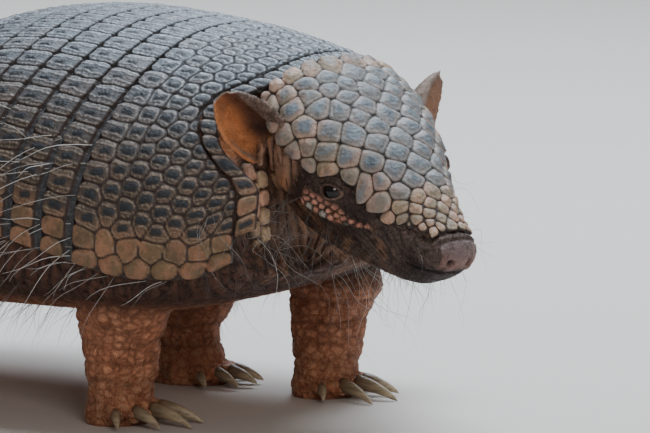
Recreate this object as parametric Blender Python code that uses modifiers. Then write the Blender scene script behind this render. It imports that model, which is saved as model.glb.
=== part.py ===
"""Six-banded armadillo, life size, walking: one closed solid for each part of the body.

Metres, +Z up, standing on z = 0. The animal faces -Y, so its left side is +X.
The armour follows one shell surface: arched cross-sections placed along the body.
Plates, bands and the trunk under them share that surface's stations, so they nest.
"""
import math

import bmesh
import bpy
from mathutils import Matrix, Vector

MM = 0.001
GAP = 0.4                    # mm of air where one part is fitted round another
PLATE_GAP = 0.5              # mm between one plate and the next
CUTTER_SPAN = 0.3            # m, wider than anything a flat cutter has to cut

# ---- the shell surface: (y, value) stations, in millimetres --------------------------
SHELL_HALF_WIDTH = ((-226, 66), (-212, 80), (-195, 90), (-160, 100), (-100, 106), (-50, 107),
                    (0, 105), (35, 98), (60, 85), (77, 67), (88, 50))
SHELL_TOP = ((-226, 148), (-200, 160), (-174, 167), (-142, 173), (-84, 177), (-50, 174),
             (-20, 165.5), (10, 153.5), (40, 136), (62, 117), (78, 99), (88, 86))
SHELL_MARGIN = ((-226, 95), (-202, 80), (-185, 72.5), (-160, 71.5), (-115, 81), (-80, 87.5),
                (-30, 86), (20, 75), (55, 66), (88, 61))
BELLY = ((-226, 84), (-200, 68), (-175, 56), (-140, 49), (-80, 45), (-20, 45), (30, 48),
         (60, 51), (88, 55))
ARCH_POWER = 0.88            # under 1 makes the arch fuller than an ellipse
PLATE_THICKNESS = 2.6        # mm
BAND_BOW = 7.0               # mm that a band bows forward on the flank
COLLAR_BOW = 12.0            # mm that the collar comes forward beside the neck
EAR_NOTCH = 15.0             # mm that the collar steps back behind each ear

# ---- where the armour is divided along the back, y in millimetres at the midline ------
NUCHAL_FRONT = -199.5
SCAPULAR_FRONT = -191.0
BANDS_FRONT = -143.0
BAND_COUNT = 6
BAND_PITCH = 15.5
BAND_SWEEP = 13.0             # mm that a band sweeps back from the midline to its lower end
PELVIC_REAR = 87.0
NUCHAL_REACH = 0.93          # share of the arch that the nuchal band covers

# ---- head, in its own frame: t forward, s to the left, n up from the shield ----------
HEAD_ORIGIN = Vector((-19.5, -213.5, 165.5))
HEAD_PITCH = math.radians(39.5)
HEAD_YAW = math.radians(18.5)
HEAD_LENGTH = 118.0
HEAD_TOP = ((0, 0), (28, 5), (55, 5.5), (85, 2.5), (105, 0), (113, -2.5), (118, -6.5))
HEAD_HALF_WIDTH = ((0, 30.5), (8, 36), (30, 38), (50, 34.5), (65, 28), (82, 21), (100, 15.5),
                   (110, 13.5), (115, 11), (118, 6.5))
HEAD_EDGE_DEPTH = ((0, 16), (30, 19.5), (55, 20), (75, 18), (95, 14), (110, 11.5), (118, 10.5))
HEAD_DEPTH = ((0, 40), (25, 55), (45, 60), (62, 57), (82, 48), (100, 38.5), (110, 30),
              (115, 22), (118, 15.5))
SHIELD_LENGTH = 107.0
SHIELD_THICKNESS = 2.2
SHIELD_BED = 0.6             # mm of air under the head shield
EYE_AT = Vector((27.9, 60.0, -20.5))     # s, t, n of the left eye's centre
EYE_RADIUS = 4.8
EAR_ROOT = Vector((36.0, 22.0, -29.0))   # s, t, n
EAR_LENGTH = 34.0
EAR_WIDTH = 24.0
EAR_THICKNESS = 1.5

ARCH_STEPS = 24              # facets round the arch
BELLY_STEPS = 10
HEAD_STEPS = 12              # facets over the head shield, and as many below it
SCAPULAR_STEPS = 4           # facets along each shield
PELVIC_STEPS = 6

# ---- neck --------------------------------------------------------------------------------
NECK_SLOPE = math.radians(12)
NECK_FRONT = Vector((-19, -213.5, 161))  # where the plane behind the head crosses its top

# ---- feet: (across, reach, radius, claw length share) of each toe, inner toe first -------
FRONT_TOES = ((-0.95, -4, 3.6, 0.5), (-0.5, 3, 4.4, 0.95), (0.0, 5, 4.6, 1.0),
              (0.48, 2.5, 4.3, 0.75), (0.92, -4, 3.7, 0.55))
HIND_TOES = ((-0.9, -3, 3.4, 0.75), (-0.48, 3, 4.0, 0.95), (0.0, 5, 4.2, 1.0),
             (0.46, 3, 3.9, 0.9), (0.88, -3, 3.4, 0.7))

# ---- tail: centre line, and (share of the length, radius) stations, in millimetres -------
TAIL_PATH = ((0, 84, 68), (0, 118, 55), (2, 165, 38), (6, 215, 22), (11, 266, 11),
             (14, 296.45, 9))
TAIL_RADIUS = ((0, 21), (0.12, 19.5), (0.35, 15), (0.65, 10), (0.9, 5.5), (1.0, 3))
RING_GAP = 0.004             # share of the tail between its rings
RING_SPANS = ((0.0, 0.085), (0.089, 0.158), (0.162, 0.226))

parts = bpy.data.collections.new("armadillo")
cutters = bpy.data.collections.new("cutters")


def clear_scene():
    for leftover in list(bpy.data.objects):
        bpy.data.objects.remove(leftover, do_unlink=True)
    bpy.context.scene.collection.children.link(parts)
    bpy.context.scene.collection.children.link(cutters)


def along(stations, x):
    """Value at x on the smooth curve through the stations, with no overshoot."""
    if x <= stations[0][0]:
        return stations[0][1]
    if x >= stations[-1][0]:
        return stations[-1][1]
    rises = [(b[1] - a[1]) / (b[0] - a[0]) for a, b in zip(stations, stations[1:])]
    slopes = [rises[0]]
    for before, after in zip(rises, rises[1:]):
        steady = before * after > 0
        slopes.append(2 * before * after / (before + after) if steady else 0.0)
    slopes.append(rises[-1])
    i = next(k for k in range(len(rises)) if x <= stations[k + 1][0])
    (x0, v0), (x1, v1) = stations[i], stations[i + 1]
    span = x1 - x0
    f = (x - x0) / span
    return ((1 + 2 * f) * (1 - f) ** 2 * v0 + f * (1 - f) ** 2 * span * slopes[i]
            + f * f * (3 - 2 * f) * v1 - f * f * (1 - f) * span * slopes[i + 1])


def smoothstep(low, high, x):
    f = min(1.0, max(0.0, (x - low) / (high - low)))
    return f * f * (3 - 2 * f)


def signed_power(value, power):
    return math.copysign(abs(value) ** power, value)


# ---- materials and objects -------------------------------------------------------------
def finish(name, colour, roughness):
    material = bpy.data.materials.new(name)
    material.use_nodes = True
    shader = material.node_tree.nodes["Principled BSDF"]
    shader.inputs["Base Color"].default_value = (*colour, 1.0)
    shader.inputs["Roughness"].default_value = roughness
    shader.inputs["Metallic"].default_value = 0.0
    material.diffuse_color = (*colour, 1.0)
    return material


def add_object(name, mesh, colour, roughness, collection=parts):
    body = bpy.data.objects.new(name, mesh)
    collection.objects.link(body)
    if collection is cutters:
        body.hide_render = True
        body.display_type = "WIRE"
    else:
        mesh.materials.append(finish(name, colour, roughness))
        mesh.shade_smooth()
    return body


SHELL_COLOUR = (0.16, 0.14, 0.12)
SKIN_COLOUR = (0.23, 0.11, 0.055)
HORN_COLOUR = (0.34, 0.26, 0.17)
TAN_COLOUR = (0.38, 0.27, 0.16)
EYE_COLOUR = (0.006, 0.005, 0.004)


def ring_mesh(name, rings, hub_caps=True):
    """Closed skin over rings of points (mm) with equal counts, capped at both ends."""
    shape = bmesh.new()
    rows = [[shape.verts.new(point * MM) for point in ring] for ring in rings]
    count = len(rows[0])
    for near, far in zip(rows, rows[1:]):
        for k in range(count):
            shape.faces.new((near[k], near[(k + 1) % count], far[(k + 1) % count], far[k]))
    for row in (rows[0], rows[-1]):
        if hub_caps:
            hub = shape.verts.new(sum((v.co for v in row), Vector()) / count)
            for k in range(count):
                shape.faces.new((row[k], row[(k + 1) % count], hub))
        else:
            half = count // 2
            for k in range(half - 1):
                shape.faces.new((row[k], row[k + 1], row[count - 2 - k], row[count - 1 - k]))
    bmesh.ops.recalc_face_normals(shape, faces=shape.faces)
    mesh = bpy.data.meshes.new(name)
    shape.to_mesh(mesh)
    shape.free()
    return mesh


def cut(body, cutter, operation="DIFFERENCE"):
    modifier = body.modifiers.new("cut_" + cutter.name, "BOOLEAN")
    modifier.operation = operation
    modifier.solver = "EXACT"
    modifier.object = cutter


# ---- the shell surface -------------------------------------------------------------------
def arch_point(y, v):
    """Point on the shell: v runs from -1 at the right margin over the back to 1."""
    half_width = along(SHELL_HALF_WIDTH, y)
    top = along(SHELL_TOP, y)
    margin = along(SHELL_MARGIN, y)
    angle = v * math.pi / 2
    x = half_width * signed_power(math.sin(angle), ARCH_POWER)
    z = margin + (top - margin) * max(0.0, math.cos(angle)) ** ARCH_POWER
    return Vector((x, y, z))


def arch_normal(y, v):
    """Outward direction; the side slope is taken a little inside the margin."""
    inner = max(-0.97, min(0.97, v))
    across = arch_point(y, inner + 0.02) - arch_point(y, inner - 0.02)
    lengthwise = arch_point(y + 1, inner) - arch_point(y - 1, inner)
    return across.cross(lengthwise).normalized()


def bow(u, v):
    """Forward bow, in mm, of the line that crosses the midline at y = u."""
    reach = abs(v)
    rump = smoothstep(band_fronts()[-1], 40, u)
    banded = BAND_BOW * math.sin(0.72 * math.pi * reach) ** 2 * rump
    banded -= BAND_SWEEP * smoothstep(0.2, 0.95, reach) * (1 - rump)
    notch = EAR_NOTCH * math.exp(-((reach - 0.48) / 0.17) ** 2)
    collar = COLLAR_BOW * smoothstep(0.58, 0.8, reach) - notch
    share = smoothstep(SCAPULAR_FRONT, BANDS_FRONT, u)
    return collar * (1 - share) + banded * share


def shell_point(u, v, depth):
    y = u - bow(u, v)
    return arch_point(y, v) - arch_normal(y, v) * depth


def arch_parameters(reach=1.0):
    """The arch's own steps, as far round each side as the reach takes in."""
    steps = [2 * k / ARCH_STEPS - 1 for k in range(ARCH_STEPS + 1)]
    return [v for v in steps if abs(v) <= reach]


def plate(name, lines, colour, reach=1.0):
    """Armour plate over the given lines: outer face, inner face and edges, one body."""
    rings = []
    for u in lines:
        outer = [shell_point(u, v, 0.0) for v in arch_parameters(reach)]
        inner = [shell_point(u, v, PLATE_THICKNESS) for v in reversed(arch_parameters(reach))]
        rings.append(outer + inner)
    return add_object(name, ring_mesh(name, rings, hub_caps=False), colour, 0.6)


def spaced(start, end, count):
    return [start + (end - start) * k / count for k in range(count + 1)]


def band_fronts():
    return [BANDS_FRONT + BAND_PITCH * k for k in range(BAND_COUNT + 1)]


def scapular_lines():
    return spaced(SCAPULAR_FRONT, BANDS_FRONT - PLATE_GAP, SCAPULAR_STEPS)


def pelvic_lines():
    return spaced(band_fronts()[-1], PELVIC_REAR, PELVIC_STEPS)


def armour():
    plate("nuchal_band", [NUCHAL_FRONT, SCAPULAR_FRONT - PLATE_GAP], TAN_COLOUR, NUCHAL_REACH)
    plate("scapular_shield", scapular_lines(), SHELL_COLOUR)
    fronts = band_fronts()
    for number, (front, rear) in enumerate(zip(fronts, fronts[1:]), start=1):
        plate(f"band_{number}", [front, rear - PLATE_GAP], SHELL_COLOUR)
    plate("pelvic_shield", pelvic_lines(), SHELL_COLOUR)


# ---- trunk ---------------------------------------------------------------------------------
def trunk_ring(u, swell=0.0):
    """Back under the plates, then flanks and belly; swell grows it all round."""
    depth = PLATE_THICKNESS + GAP - swell
    ring = [shell_point(u, v, depth) for v in arch_parameters()]
    y = ring[0].y
    half_width = abs(ring[0].x) - 3.0
    brim = ring[0].z - 1.5
    floor = along(BELLY, y) - swell
    for k in range(1, BELLY_STEPS):
        angle = math.pi * k / BELLY_STEPS
        x = half_width * signed_power(math.cos(angle), 0.75)
        z = brim - (brim - floor) * math.sin(angle) ** 0.8
        ring.append(Vector((x, y, z)))
    return ring


def shrunk(ring, centre, share, shift):
    """The ring drawn in towards a centre and flattened, then moved along y."""
    return [Vector((centre.x + (p.x - centre.x) * share,
                    p.y * 0.35 + centre.y * 0.65 + shift,
                    centre.z + (p.z - centre.z) * share)) for p in ring]


def trunk_rings(swell=0.0):
    lines = scapular_lines() + band_fronts()[1:] + pelvic_lines()[1:]
    rings = [trunk_ring(u, swell) for u in lines]
    nape = Vector((0, SCAPULAR_FRONT, 116))
    rump = Vector((0, PELVIC_REAR - 6, 68))
    front_rings = [shrunk(rings[0], nape, 0.74, 1 - swell)]
    rear_rings = [shrunk(rings[-1], rump, 0.76, 6 + swell)]
    return front_rings + rings + rear_rings


def trunk():
    add_object("trunk", ring_mesh("trunk", trunk_rings()), SKIN_COLOUR, 0.8)
    mesh = ring_mesh("trunk_clearance", trunk_rings(2 * GAP))
    return add_object("trunk_clearance", mesh, SKIN_COLOUR, 0.8, cutters)


# ---- head ----------------------------------------------------------------------------------
HEAD_TURN = Matrix.Rotation(-HEAD_YAW, 3, "Z")
HEAD_FRAME = HEAD_TURN @ Matrix.Rotation(HEAD_PITCH, 3, "X")
NECK_TURN = HEAD_TURN @ Matrix.Rotation(NECK_SLOPE, 3, "X")


def head_point(s, t, n):
    """Head frame to body frame, in mm: s left, t forward, n up."""
    return HEAD_ORIGIN + HEAD_FRAME @ Vector((s, -t, n))


def head_section(t, v):
    """Head outline (s, n) at t: v from -1 (right edge) over the top to 1, and to 3 below.

    The shield's arc is near an ellipse; the cheeks below it draw in towards the throat.
    """
    half_width = along(HEAD_HALF_WIDTH, t)
    top = along(HEAD_TOP, t)
    edge = -along(HEAD_EDGE_DEPTH, t)
    bottom = -along(HEAD_DEPTH, t)
    angle = v * math.pi / 2
    side = math.sin(angle)
    rise = math.cos(angle)
    if rise >= 0:
        return half_width * signed_power(side, 0.86), edge + (top - edge) * rise ** 0.95
    width = half_width * (0.62 + 0.38 * abs(side) ** 0.8)
    return signed_power(side, 0.62) * width, edge + (bottom - edge) * abs(rise) ** 0.95


def head_surface(t, v, depth=0.0):
    """Point on the head, sunk by a depth in mm along the surface's normal."""
    s, n = head_section(t, v)
    s1, n1 = head_section(t, v - 0.02)
    s2, n2 = head_section(t, v + 0.02)
    back_s, back_n = head_section(t - 0.5, v)
    front_s, front_n = head_section(t + 0.5, v)
    lengthwise = Vector((front_s - back_s, 1.0, front_n - back_n))
    across = Vector((s2 - s1, 0, n2 - n1))
    normal = across.cross(lengthwise).normalized()
    return head_point(*(Vector((s, t, n)) - normal * depth))


def shield_reach(t):
    """How far down the side the head shield comes, as a share of the top arc."""
    over_eye = math.exp(-((t - 54) / 13) ** 2)
    return 0.93 - 0.17 * over_eye - 0.1 * smoothstep(70, 100, t)


def head_ring(t, swell=0.0):
    """Head outline at t, sunk under the shield; a swollen one takes in the shield."""
    reach = shield_reach(t)
    covered = swell == 0.0 and t < SHIELD_LENGTH + 1
    sunk = SHIELD_THICKNESS + SHIELD_BED if covered else 0.0
    ring = [head_surface(t, reach * (2 * k / HEAD_STEPS - 1), sunk - swell)
            for k in range(HEAD_STEPS + 1)]
    lip = reach + 0.07
    for k in range(HEAD_STEPS + 1):
        v = lip + (4 - 2 * lip) * k / HEAD_STEPS
        ring.append(head_surface(t, v, -swell))
    return ring


def head_stations():
    return [0.5, 9, 18, 28, 39, 49, 59, 69, 80, 90, 99, SHIELD_LENGTH, 109, 114, HEAD_LENGTH]


def head_mesh(name, swell=0.0):
    return ring_mesh(name, [head_ring(t, swell) for t in head_stations()])


def head_shield():
    rings = []
    for t in [t for t in head_stations() if t <= SHIELD_LENGTH]:
        reach = shield_reach(t)
        values = [reach * (2 * k / HEAD_STEPS - 1) for k in range(HEAD_STEPS + 1)]
        outer = [head_surface(t, v) for v in values]
        inner = [head_surface(t, v, SHIELD_THICKNESS) for v in reversed(values)]
        rings.append(outer + inner)
    return add_object("head_shield", ring_mesh("head_shield", rings, hub_caps=False),
                      SHELL_COLOUR, 0.55)


def box_cutter(name, centre, size, rotation):
    """Block (m) that cuts away what lies in it."""
    shape = bmesh.new()
    bmesh.ops.create_cube(shape, size=1.0)
    bmesh.ops.scale(shape, vec=size, verts=shape.verts)
    mesh = bpy.data.meshes.new(name)
    shape.to_mesh(mesh)
    shape.free()
    block = add_object(name, mesh, SKIN_COLOUR, 0.8, cutters)
    block.location = centre
    block.rotation_euler = rotation
    return block


def eyeball(name, side, radius, collection=parts):
    shape = bmesh.new()
    bmesh.ops.create_uvsphere(shape, u_segments=10, v_segments=7, radius=radius * MM)
    mesh = bpy.data.meshes.new(name)
    shape.to_mesh(mesh)
    shape.free()
    ball = add_object(name, mesh, EYE_COLOUR, 0.05, collection)
    ball.location = head_point(side * EYE_AT.x, EYE_AT.y, EYE_AT.z) * MM
    return ball


def plane_cutter(name, offset, direction):
    """Block with one face on the plane behind the head, moved back by offset (mm)."""
    centre = NECK_TURN @ Vector((0, offset * MM + direction * CUTTER_SPAN / 4, 0))
    return box_cutter(name, NECK_FRONT * MM + centre,
                      (CUTTER_SPAN, CUTTER_SPAN / 2, CUTTER_SPAN), NECK_TURN.to_euler())


def head():
    body = add_object("head", head_mesh("head"), SKIN_COLOUR, 0.7)
    block = plane_cutter("neck_plane", 0.0, 1)
    cut(body, block)
    shield = head_shield()
    cut(shield, block)
    for side, word in ((1, "left"), (-1, "right")):
        eyeball(f"eye_{word}", side, EYE_RADIUS)
        cut(body, eyeball(f"socket_{word}", side, EYE_RADIUS + GAP, cutters))
    swollen = head_mesh("head_clearance", GAP)
    return add_object("head_clearance", swollen, SKIN_COLOUR, 0.7, cutters)


def oval(centre, half_width, half_height, turn, count=20, power=0.9):
    """Ring round a centre, upright before the turn."""
    ring = []
    for k in range(count):
        angle = 2 * math.pi * k / count
        x = half_width * signed_power(math.sin(angle), power)
        z = half_height * signed_power(math.cos(angle), power)
        ring.append(centre + turn @ Vector((x, 0, z)))
    return ring


def neck(trunk_clearance):
    """Short thick neck, from the hood of the shell to the back of the head."""
    half_turn = Matrix.Rotation(-HEAD_YAW / 2, 3, "Z") @ Matrix.Rotation(NECK_SLOPE / 2, 3, "X")
    rings = [oval(Vector((0, -185.5, 115)), 50, 35, Matrix.Identity(3)),
             oval(Vector((-7, -200, 119)), 38, 34, half_turn),
             oval(Vector((-18, -217, 121.5)), 31, 33.5, NECK_TURN)]
    body = add_object("neck", ring_mesh("neck", rings), SKIN_COLOUR, 0.8)
    cut(body, plane_cutter("head_plane", PLATE_GAP, -1))
    cut(body, trunk_clearance)
    return body


def ear(side, word, head_clearance):
    """Open funnel: a leaf whose sides curl forward round the ear hole."""
    rows = 7
    columns = 8
    root = head_point(side * EAR_ROOT.x, EAR_ROOT.y, EAR_ROOT.z)
    out = HEAD_TURN @ Vector((side * 0.76, 0.08, 0.0)) + Vector((0, 0, 0.64))
    out.normalize()
    facing = HEAD_TURN @ Vector((side * 0.55, -0.80, -0.05))
    facing = (facing - out * facing.dot(out)).normalized()
    across = out.cross(facing)
    shape = bmesh.new()
    grid = []
    for i in range(rows + 1):
        f = i / rows
        half = EAR_WIDTH / 2 * math.sin(math.pi * (0.17 + 0.79 * f)) ** 0.62
        curl = math.radians(105 - 62 * f)
        centre = root + out * (f * EAR_LENGTH) - facing * (3.0 * math.sin(math.pi * f))
        radius = half / math.sin(min(curl, math.pi / 2))
        row = []
        for j in range(columns + 1):
            angle = curl * (2 * j / columns - 1)
            swing = across * (radius * math.sin(angle))
            lift = facing * (radius * (1 - math.cos(angle)))
            row.append(shape.verts.new((centre + swing + lift) * MM))
        grid.append(row)
    for low, high in zip(grid, grid[1:]):
        for a, b, c, d in zip(low, low[1:], high[1:], high):
            shape.faces.new((a, b, c, d))
    bmesh.ops.recalc_face_normals(shape, faces=shape.faces)
    mesh = bpy.data.meshes.new("ear_" + word)
    shape.to_mesh(mesh)
    shape.free()
    body = add_object("ear_" + word, mesh, SKIN_COLOUR, 0.7)
    wall = body.modifiers.new("wall", "SOLIDIFY")
    wall.thickness = EAR_THICKNESS * MM
    wall.offset = 0
    cut(body, head_clearance)
    return body


# ---- limbs -----------------------------------------------------------------------------------
def limb_ring(centre, half_width, half_length, count=12):
    ring = []
    for k in range(count):
        angle = 2 * math.pi * k / count
        ring.append(Vector(centre) + Vector((half_width * math.cos(angle),
                                             half_length * math.sin(angle), 0)))
    return ring


def leg(name, stations, clearance):
    rings = [limb_ring(*station) for station in stations]
    body = add_object(name, ring_mesh(name, rings), SKIN_COLOUR, 0.8)
    cut(body, clearance)
    return body


def capsule(name, start, end, start_radius, end_radius, sides=6):
    """Tapered rod with a rounded front end, from start to end (mm)."""
    axis = (end - start).normalized()
    across = axis.cross(Vector((0, 0, 1))).normalized()
    up = across.cross(axis)
    length = (end - start).length
    rings = []
    for f, share in ((0, 1.0), (0.7, 1.0), (1.0, 0.6)):
        radius = (start_radius + (end_radius - start_radius) * f) * share
        ring = []
        for k in range(sides):
            angle = 2 * math.pi * k / sides
            offset = across * math.cos(angle) + up * math.sin(angle)
            ring.append(start + axis * (length * f) + offset * radius)
        rings.append(ring)
    return ring_mesh(name, rings)


def claw(name, root, heading, length, radius, sides=5):
    """Horn claw: tapers and curves down from its root to a blunt tip."""
    heading = heading.normalized()
    across = heading.cross(Vector((0, 0, 1))).normalized()
    rings = []
    for f in (0.0, 0.5, 1.0):
        bend = math.radians(6 + 37.5 * f)
        centre = root + heading * (length * f) - Vector((0, 0, 1)) * (length * 0.27 * f * f)
        up = Vector((0, 0, 1)) * math.cos(bend) + heading * math.sin(bend)
        size = radius * (1 - 0.78 * f)
        ring = []
        for k in range(sides):
            angle = 2 * math.pi * k / sides
            offset = across * (0.8 * math.cos(angle)) + up * (1.15 * math.sin(angle))
            ring.append(centre + offset * size)
        rings.append(ring)
    return add_object(name, ring_mesh(name, rings), HORN_COLOUR, 0.45)


def foot(word, wrist, front, back, half_width, toes, claw_length, floor_cutter):
    """Sole and instep under the limb's last ring, with five toes and their claws."""
    (wx, wy, wz), wrist_width, wrist_length = wrist
    middle = (front + back) / 2
    half_length = (back - front) / 2
    rings = [limb_ring((wx, wy, wz - GAP), wrist_width, wrist_length),
             limb_ring((wx, (wy + middle) / 2, wz * 0.55), half_width * 0.92, half_length * 0.9),
             limb_ring((wx, middle, 5.0), half_width, half_length),
             limb_ring((wx, middle, -4.0), half_width * 0.86, half_length * 0.92)]
    body = add_object("foot_" + word, ring_mesh("foot_" + word, rings), SKIN_COLOUR, 0.8)
    for number, (spread, reach, size, claw_share) in enumerate(toes, start=1):
        lateral = spread * half_width
        root = Vector((wx + lateral * 0.72, front + 9.0, 6.5))
        tip = Vector((wx + lateral * 1.12, front - reach, size + 0.6))
        toe_name = f"toe_{word}_{number}"
        rod = add_object(toe_name, capsule(toe_name, root, tip, size * 1.15, size),
                         SKIN_COLOUR, 0.8, cutters)
        cut(body, rod, "UNION")
        heading = Vector((tip.x - root.x, tip.y - root.y, 0)).normalized()
        claw_root = tip + heading * (GAP + 0.05) + Vector((0, 0, 0.6))
        claw(f"claw_{word}_{number}", claw_root, heading, claw_length * claw_share,
             size * 0.66)
    cut(body, floor_cutter)
    return body


def mirrored(stations, side):
    return [((side * x, y, z), half_width, half_length)
            for (x, y, z), half_width, half_length in stations]


def limb(side, word, stations, sole, half_width, toes, claw_length, clearance, floor_cutter):
    """Leg, foot and claws on one side; sole is how far it reaches before and behind."""
    stations = mirrored(stations, side)
    leg("leg_" + word, stations, clearance)
    wrist = stations[-1]
    y = wrist[0][1]
    mirrored_toes = [(side * across, *rest) for across, *rest in toes]
    foot(word, wrist, y - sole[0], y + sole[1], half_width, mirrored_toes, claw_length,
         floor_cutter)


def limbs(clearance):
    """Walking: the left legs are the forward ones; the right hind leg trails."""
    floor_cutter = box_cutter("floor_block", (0, 0, -0.05), (0.6, 0.9, 0.1), (0, 0, 0))
    front_right = [((62, -140, 96), 21, 28), ((62, -139, 72), 20.5, 26),
                   ((59, -127.5, 50), 17.5, 20), ((57, -124.5, 36), 16, 16.5),
                   ((56, -124.5, 24), 16.5, 16)]
    front_left = [((62, -151, 96), 21, 28), ((62, -150, 72), 20.5, 26),
                  ((59, -163, 50), 17.5, 20), ((57, -160, 36), 16, 16.5),
                  ((56, -160, 24), 16.5, 16)]
    for side, word, path in ((-1, "front_right", front_right), (1, "front_left", front_left)):
        limb(side, word, path, (13, 16), 17.5, FRONT_TOES, 19, clearance, floor_cutter)
    hind_left = [((60, -28, 96), 22, 38), ((64, -56, 78), 22, 33), ((63, -80, 61), 20, 24),
                 ((58, -92, 42), 15.5, 17), ((54, -84, 24), 14, 15.5)]
    hind_right = [((60, 4, 96), 22, 38), ((65, -6, 74), 22, 33), ((64, -8, 54), 19.5, 25),
                  ((58, 12, 38), 15, 17), ((55, 26, 24), 14, 15.5)]
    for side, word, path in ((1, "hind_left", hind_left), (-1, "hind_right", hind_right)):
        limb(side, word, path, (22, 18), 15.5, HIND_TOES, 12, clearance, floor_cutter)


# ---- tail ------------------------------------------------------------------------------------
def tail_point(f):
    """Point at share f of the tail, on a smooth curve through its path."""
    steps = len(TAIL_PATH) - 1
    xs = tuple((k / steps, p[0]) for k, p in enumerate(TAIL_PATH))
    ys = tuple((k / steps, p[1]) for k, p in enumerate(TAIL_PATH))
    zs = tuple((k / steps, p[2]) for k, p in enumerate(TAIL_PATH))
    return Vector((along(xs, f), along(ys, f), along(zs, f)))


def tail_ring(f, count, swell=0.0):
    ahead = tail_point(min(1.0, f + 0.01)) - tail_point(max(0.0, f - 0.01))
    axis = ahead.normalized()
    across = axis.cross(Vector((0, 0, 1))).normalized()
    up = across.cross(axis)
    radius = along(TAIL_RADIUS, f) + swell
    return [tail_point(f) + across * (radius * math.cos(2 * math.pi * k / count))
            + up * (radius * math.sin(2 * math.pi * k / count)) for k in range(count)]


def tail(clearance):
    for number, (start, end) in enumerate(RING_SPANS, start=1):
        name = f"tail_ring_{number}"
        rings = [tail_ring(start, 16), tail_ring(end, 16, 0.6)]
        body = add_object(name, ring_mesh(name, rings), TAN_COLOUR, 0.6)
        if number == 1:
            cut(body, clearance)
    shares = spaced(RING_SPANS[-1][1] + RING_GAP, 1.0, 10)
    add_object("tail", ring_mesh("tail", [tail_ring(f, 12) for f in shares]), SHELL_COLOUR, 0.65)


clear_scene()
armour()
trunk_clearance = trunk()
head_clearance = head()
neck(trunk_clearance)
for ear_side, ear_word in ((1, "left"), (-1, "right")):
    ear(ear_side, ear_word, head_clearance)
limbs(trunk_clearance)
tail(trunk_clearance)
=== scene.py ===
"""Six-banded armadillo, life size, walking: museum-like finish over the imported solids.

The order is the camera and light, the armour of the back, the head shield, the skin,
the eyes and claws, the tail, and last the bristles and hairs. Sizes are in millimetres
until a mesh is made, then in metres. The animal faces -Y and its left side is +X.
"""
import math

import bmesh
import bpy
import numpy as np
from mathutils import Matrix, Vector


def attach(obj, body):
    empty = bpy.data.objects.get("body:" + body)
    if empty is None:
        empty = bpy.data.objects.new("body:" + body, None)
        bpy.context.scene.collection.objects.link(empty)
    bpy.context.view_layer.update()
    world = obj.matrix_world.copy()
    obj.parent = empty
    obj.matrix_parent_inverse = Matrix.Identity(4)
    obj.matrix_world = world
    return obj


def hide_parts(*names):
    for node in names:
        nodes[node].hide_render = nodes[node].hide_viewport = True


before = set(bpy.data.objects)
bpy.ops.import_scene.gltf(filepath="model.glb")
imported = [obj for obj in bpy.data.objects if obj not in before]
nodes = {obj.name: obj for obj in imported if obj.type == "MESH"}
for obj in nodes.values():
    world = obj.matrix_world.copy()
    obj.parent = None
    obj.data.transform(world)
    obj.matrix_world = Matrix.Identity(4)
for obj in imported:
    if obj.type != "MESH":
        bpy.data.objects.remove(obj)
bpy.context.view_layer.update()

# ---- camera, light and floor ---------------------------------------------------------------
# A low camera ahead of the animal's right shoulder, as a person kneeling would see it.
# A wide cool softbox overhead does most of the work; a weak warm one fills the near side.
# The floor is a plain pale sheet.
VIEW_AZIMUTH = math.radians(-57)
VIEW_ELEVATION = math.radians(8)
VIEW_DISTANCE = 3.6
VIEW_LENS = 448.6
VIEW_MIDDLE = Vector((0, -0.14, 0.10))
VIEW_ASIDE = 0.0460          # metres that the camera aims to the right of it, and below it
VIEW_BELOW = 0.0138
FLOOR_HALF = 25.0
FLOOR_COLOUR = (0.56, 0.51, 0.47, 1)
WALL_LIGHT = (0.62, 0.60, 0.58, 1)
toward_camera = Vector((math.sin(VIEW_AZIMUTH) * math.cos(VIEW_ELEVATION),
                        -math.cos(VIEW_AZIMUTH) * math.cos(VIEW_ELEVATION),
                        math.sin(VIEW_ELEVATION)))
view_right = Vector((0, 0, 1)).cross(toward_camera).normalized()
view_up = toward_camera.cross(view_right)
view_target = VIEW_MIDDLE + view_right * VIEW_ASIDE - view_up * VIEW_BELOW


def in_scene(name, data):
    """The object of a mesh, lamp or camera, put in the scene at the origin."""
    made = bpy.data.objects.new(name, data)
    bpy.context.scene.collection.objects.link(made)
    return made


camera = in_scene("camera", bpy.data.cameras.new("camera"))
camera.data.lens = VIEW_LENS
camera.data.sensor_width = 36
camera.data.clip_end = 30
camera.location = view_target + toward_camera * VIEW_DISTANCE
camera.rotation_euler = toward_camera.to_track_quat("Z", "Y").to_euler()
bpy.context.scene.camera = camera


def softbox(name, place, aim, size, power, colour):
    """A round lamp, size metres across, at place, turned to aim."""
    lamp = bpy.data.lights.new(name, "AREA")
    lamp.shape = "DISK"
    lamp.size = size
    lamp.energy = power
    lamp.color = colour
    stand = in_scene(name, lamp)
    stand.location = place
    stand.rotation_euler = (Vector(place) - Vector(aim)).to_track_quat("Z", "Y").to_euler()


AIM = (0.0, -0.12, 0.10)
softbox("sky_box", (0.35, -0.25, 1.9), AIM, 1.5, 64, (0.78, 0.89, 1.0))
softbox("side_fill", (-1.7, -1.9, 1.1), AIM, 1.0, 19, (1.0, 0.95, 0.90))
softbox("rim_box", (1.3, 0.5, 1.5), AIM, 0.9, 34, (0.76, 0.88, 1.0))
world = bpy.data.worlds.new("studio")
bpy.context.scene.world = world
world.use_nodes = True
walls = world.node_tree.nodes["Background"]
walls.inputs["Color"].default_value = WALL_LIGHT
walls.inputs["Strength"].default_value = 0.40

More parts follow.
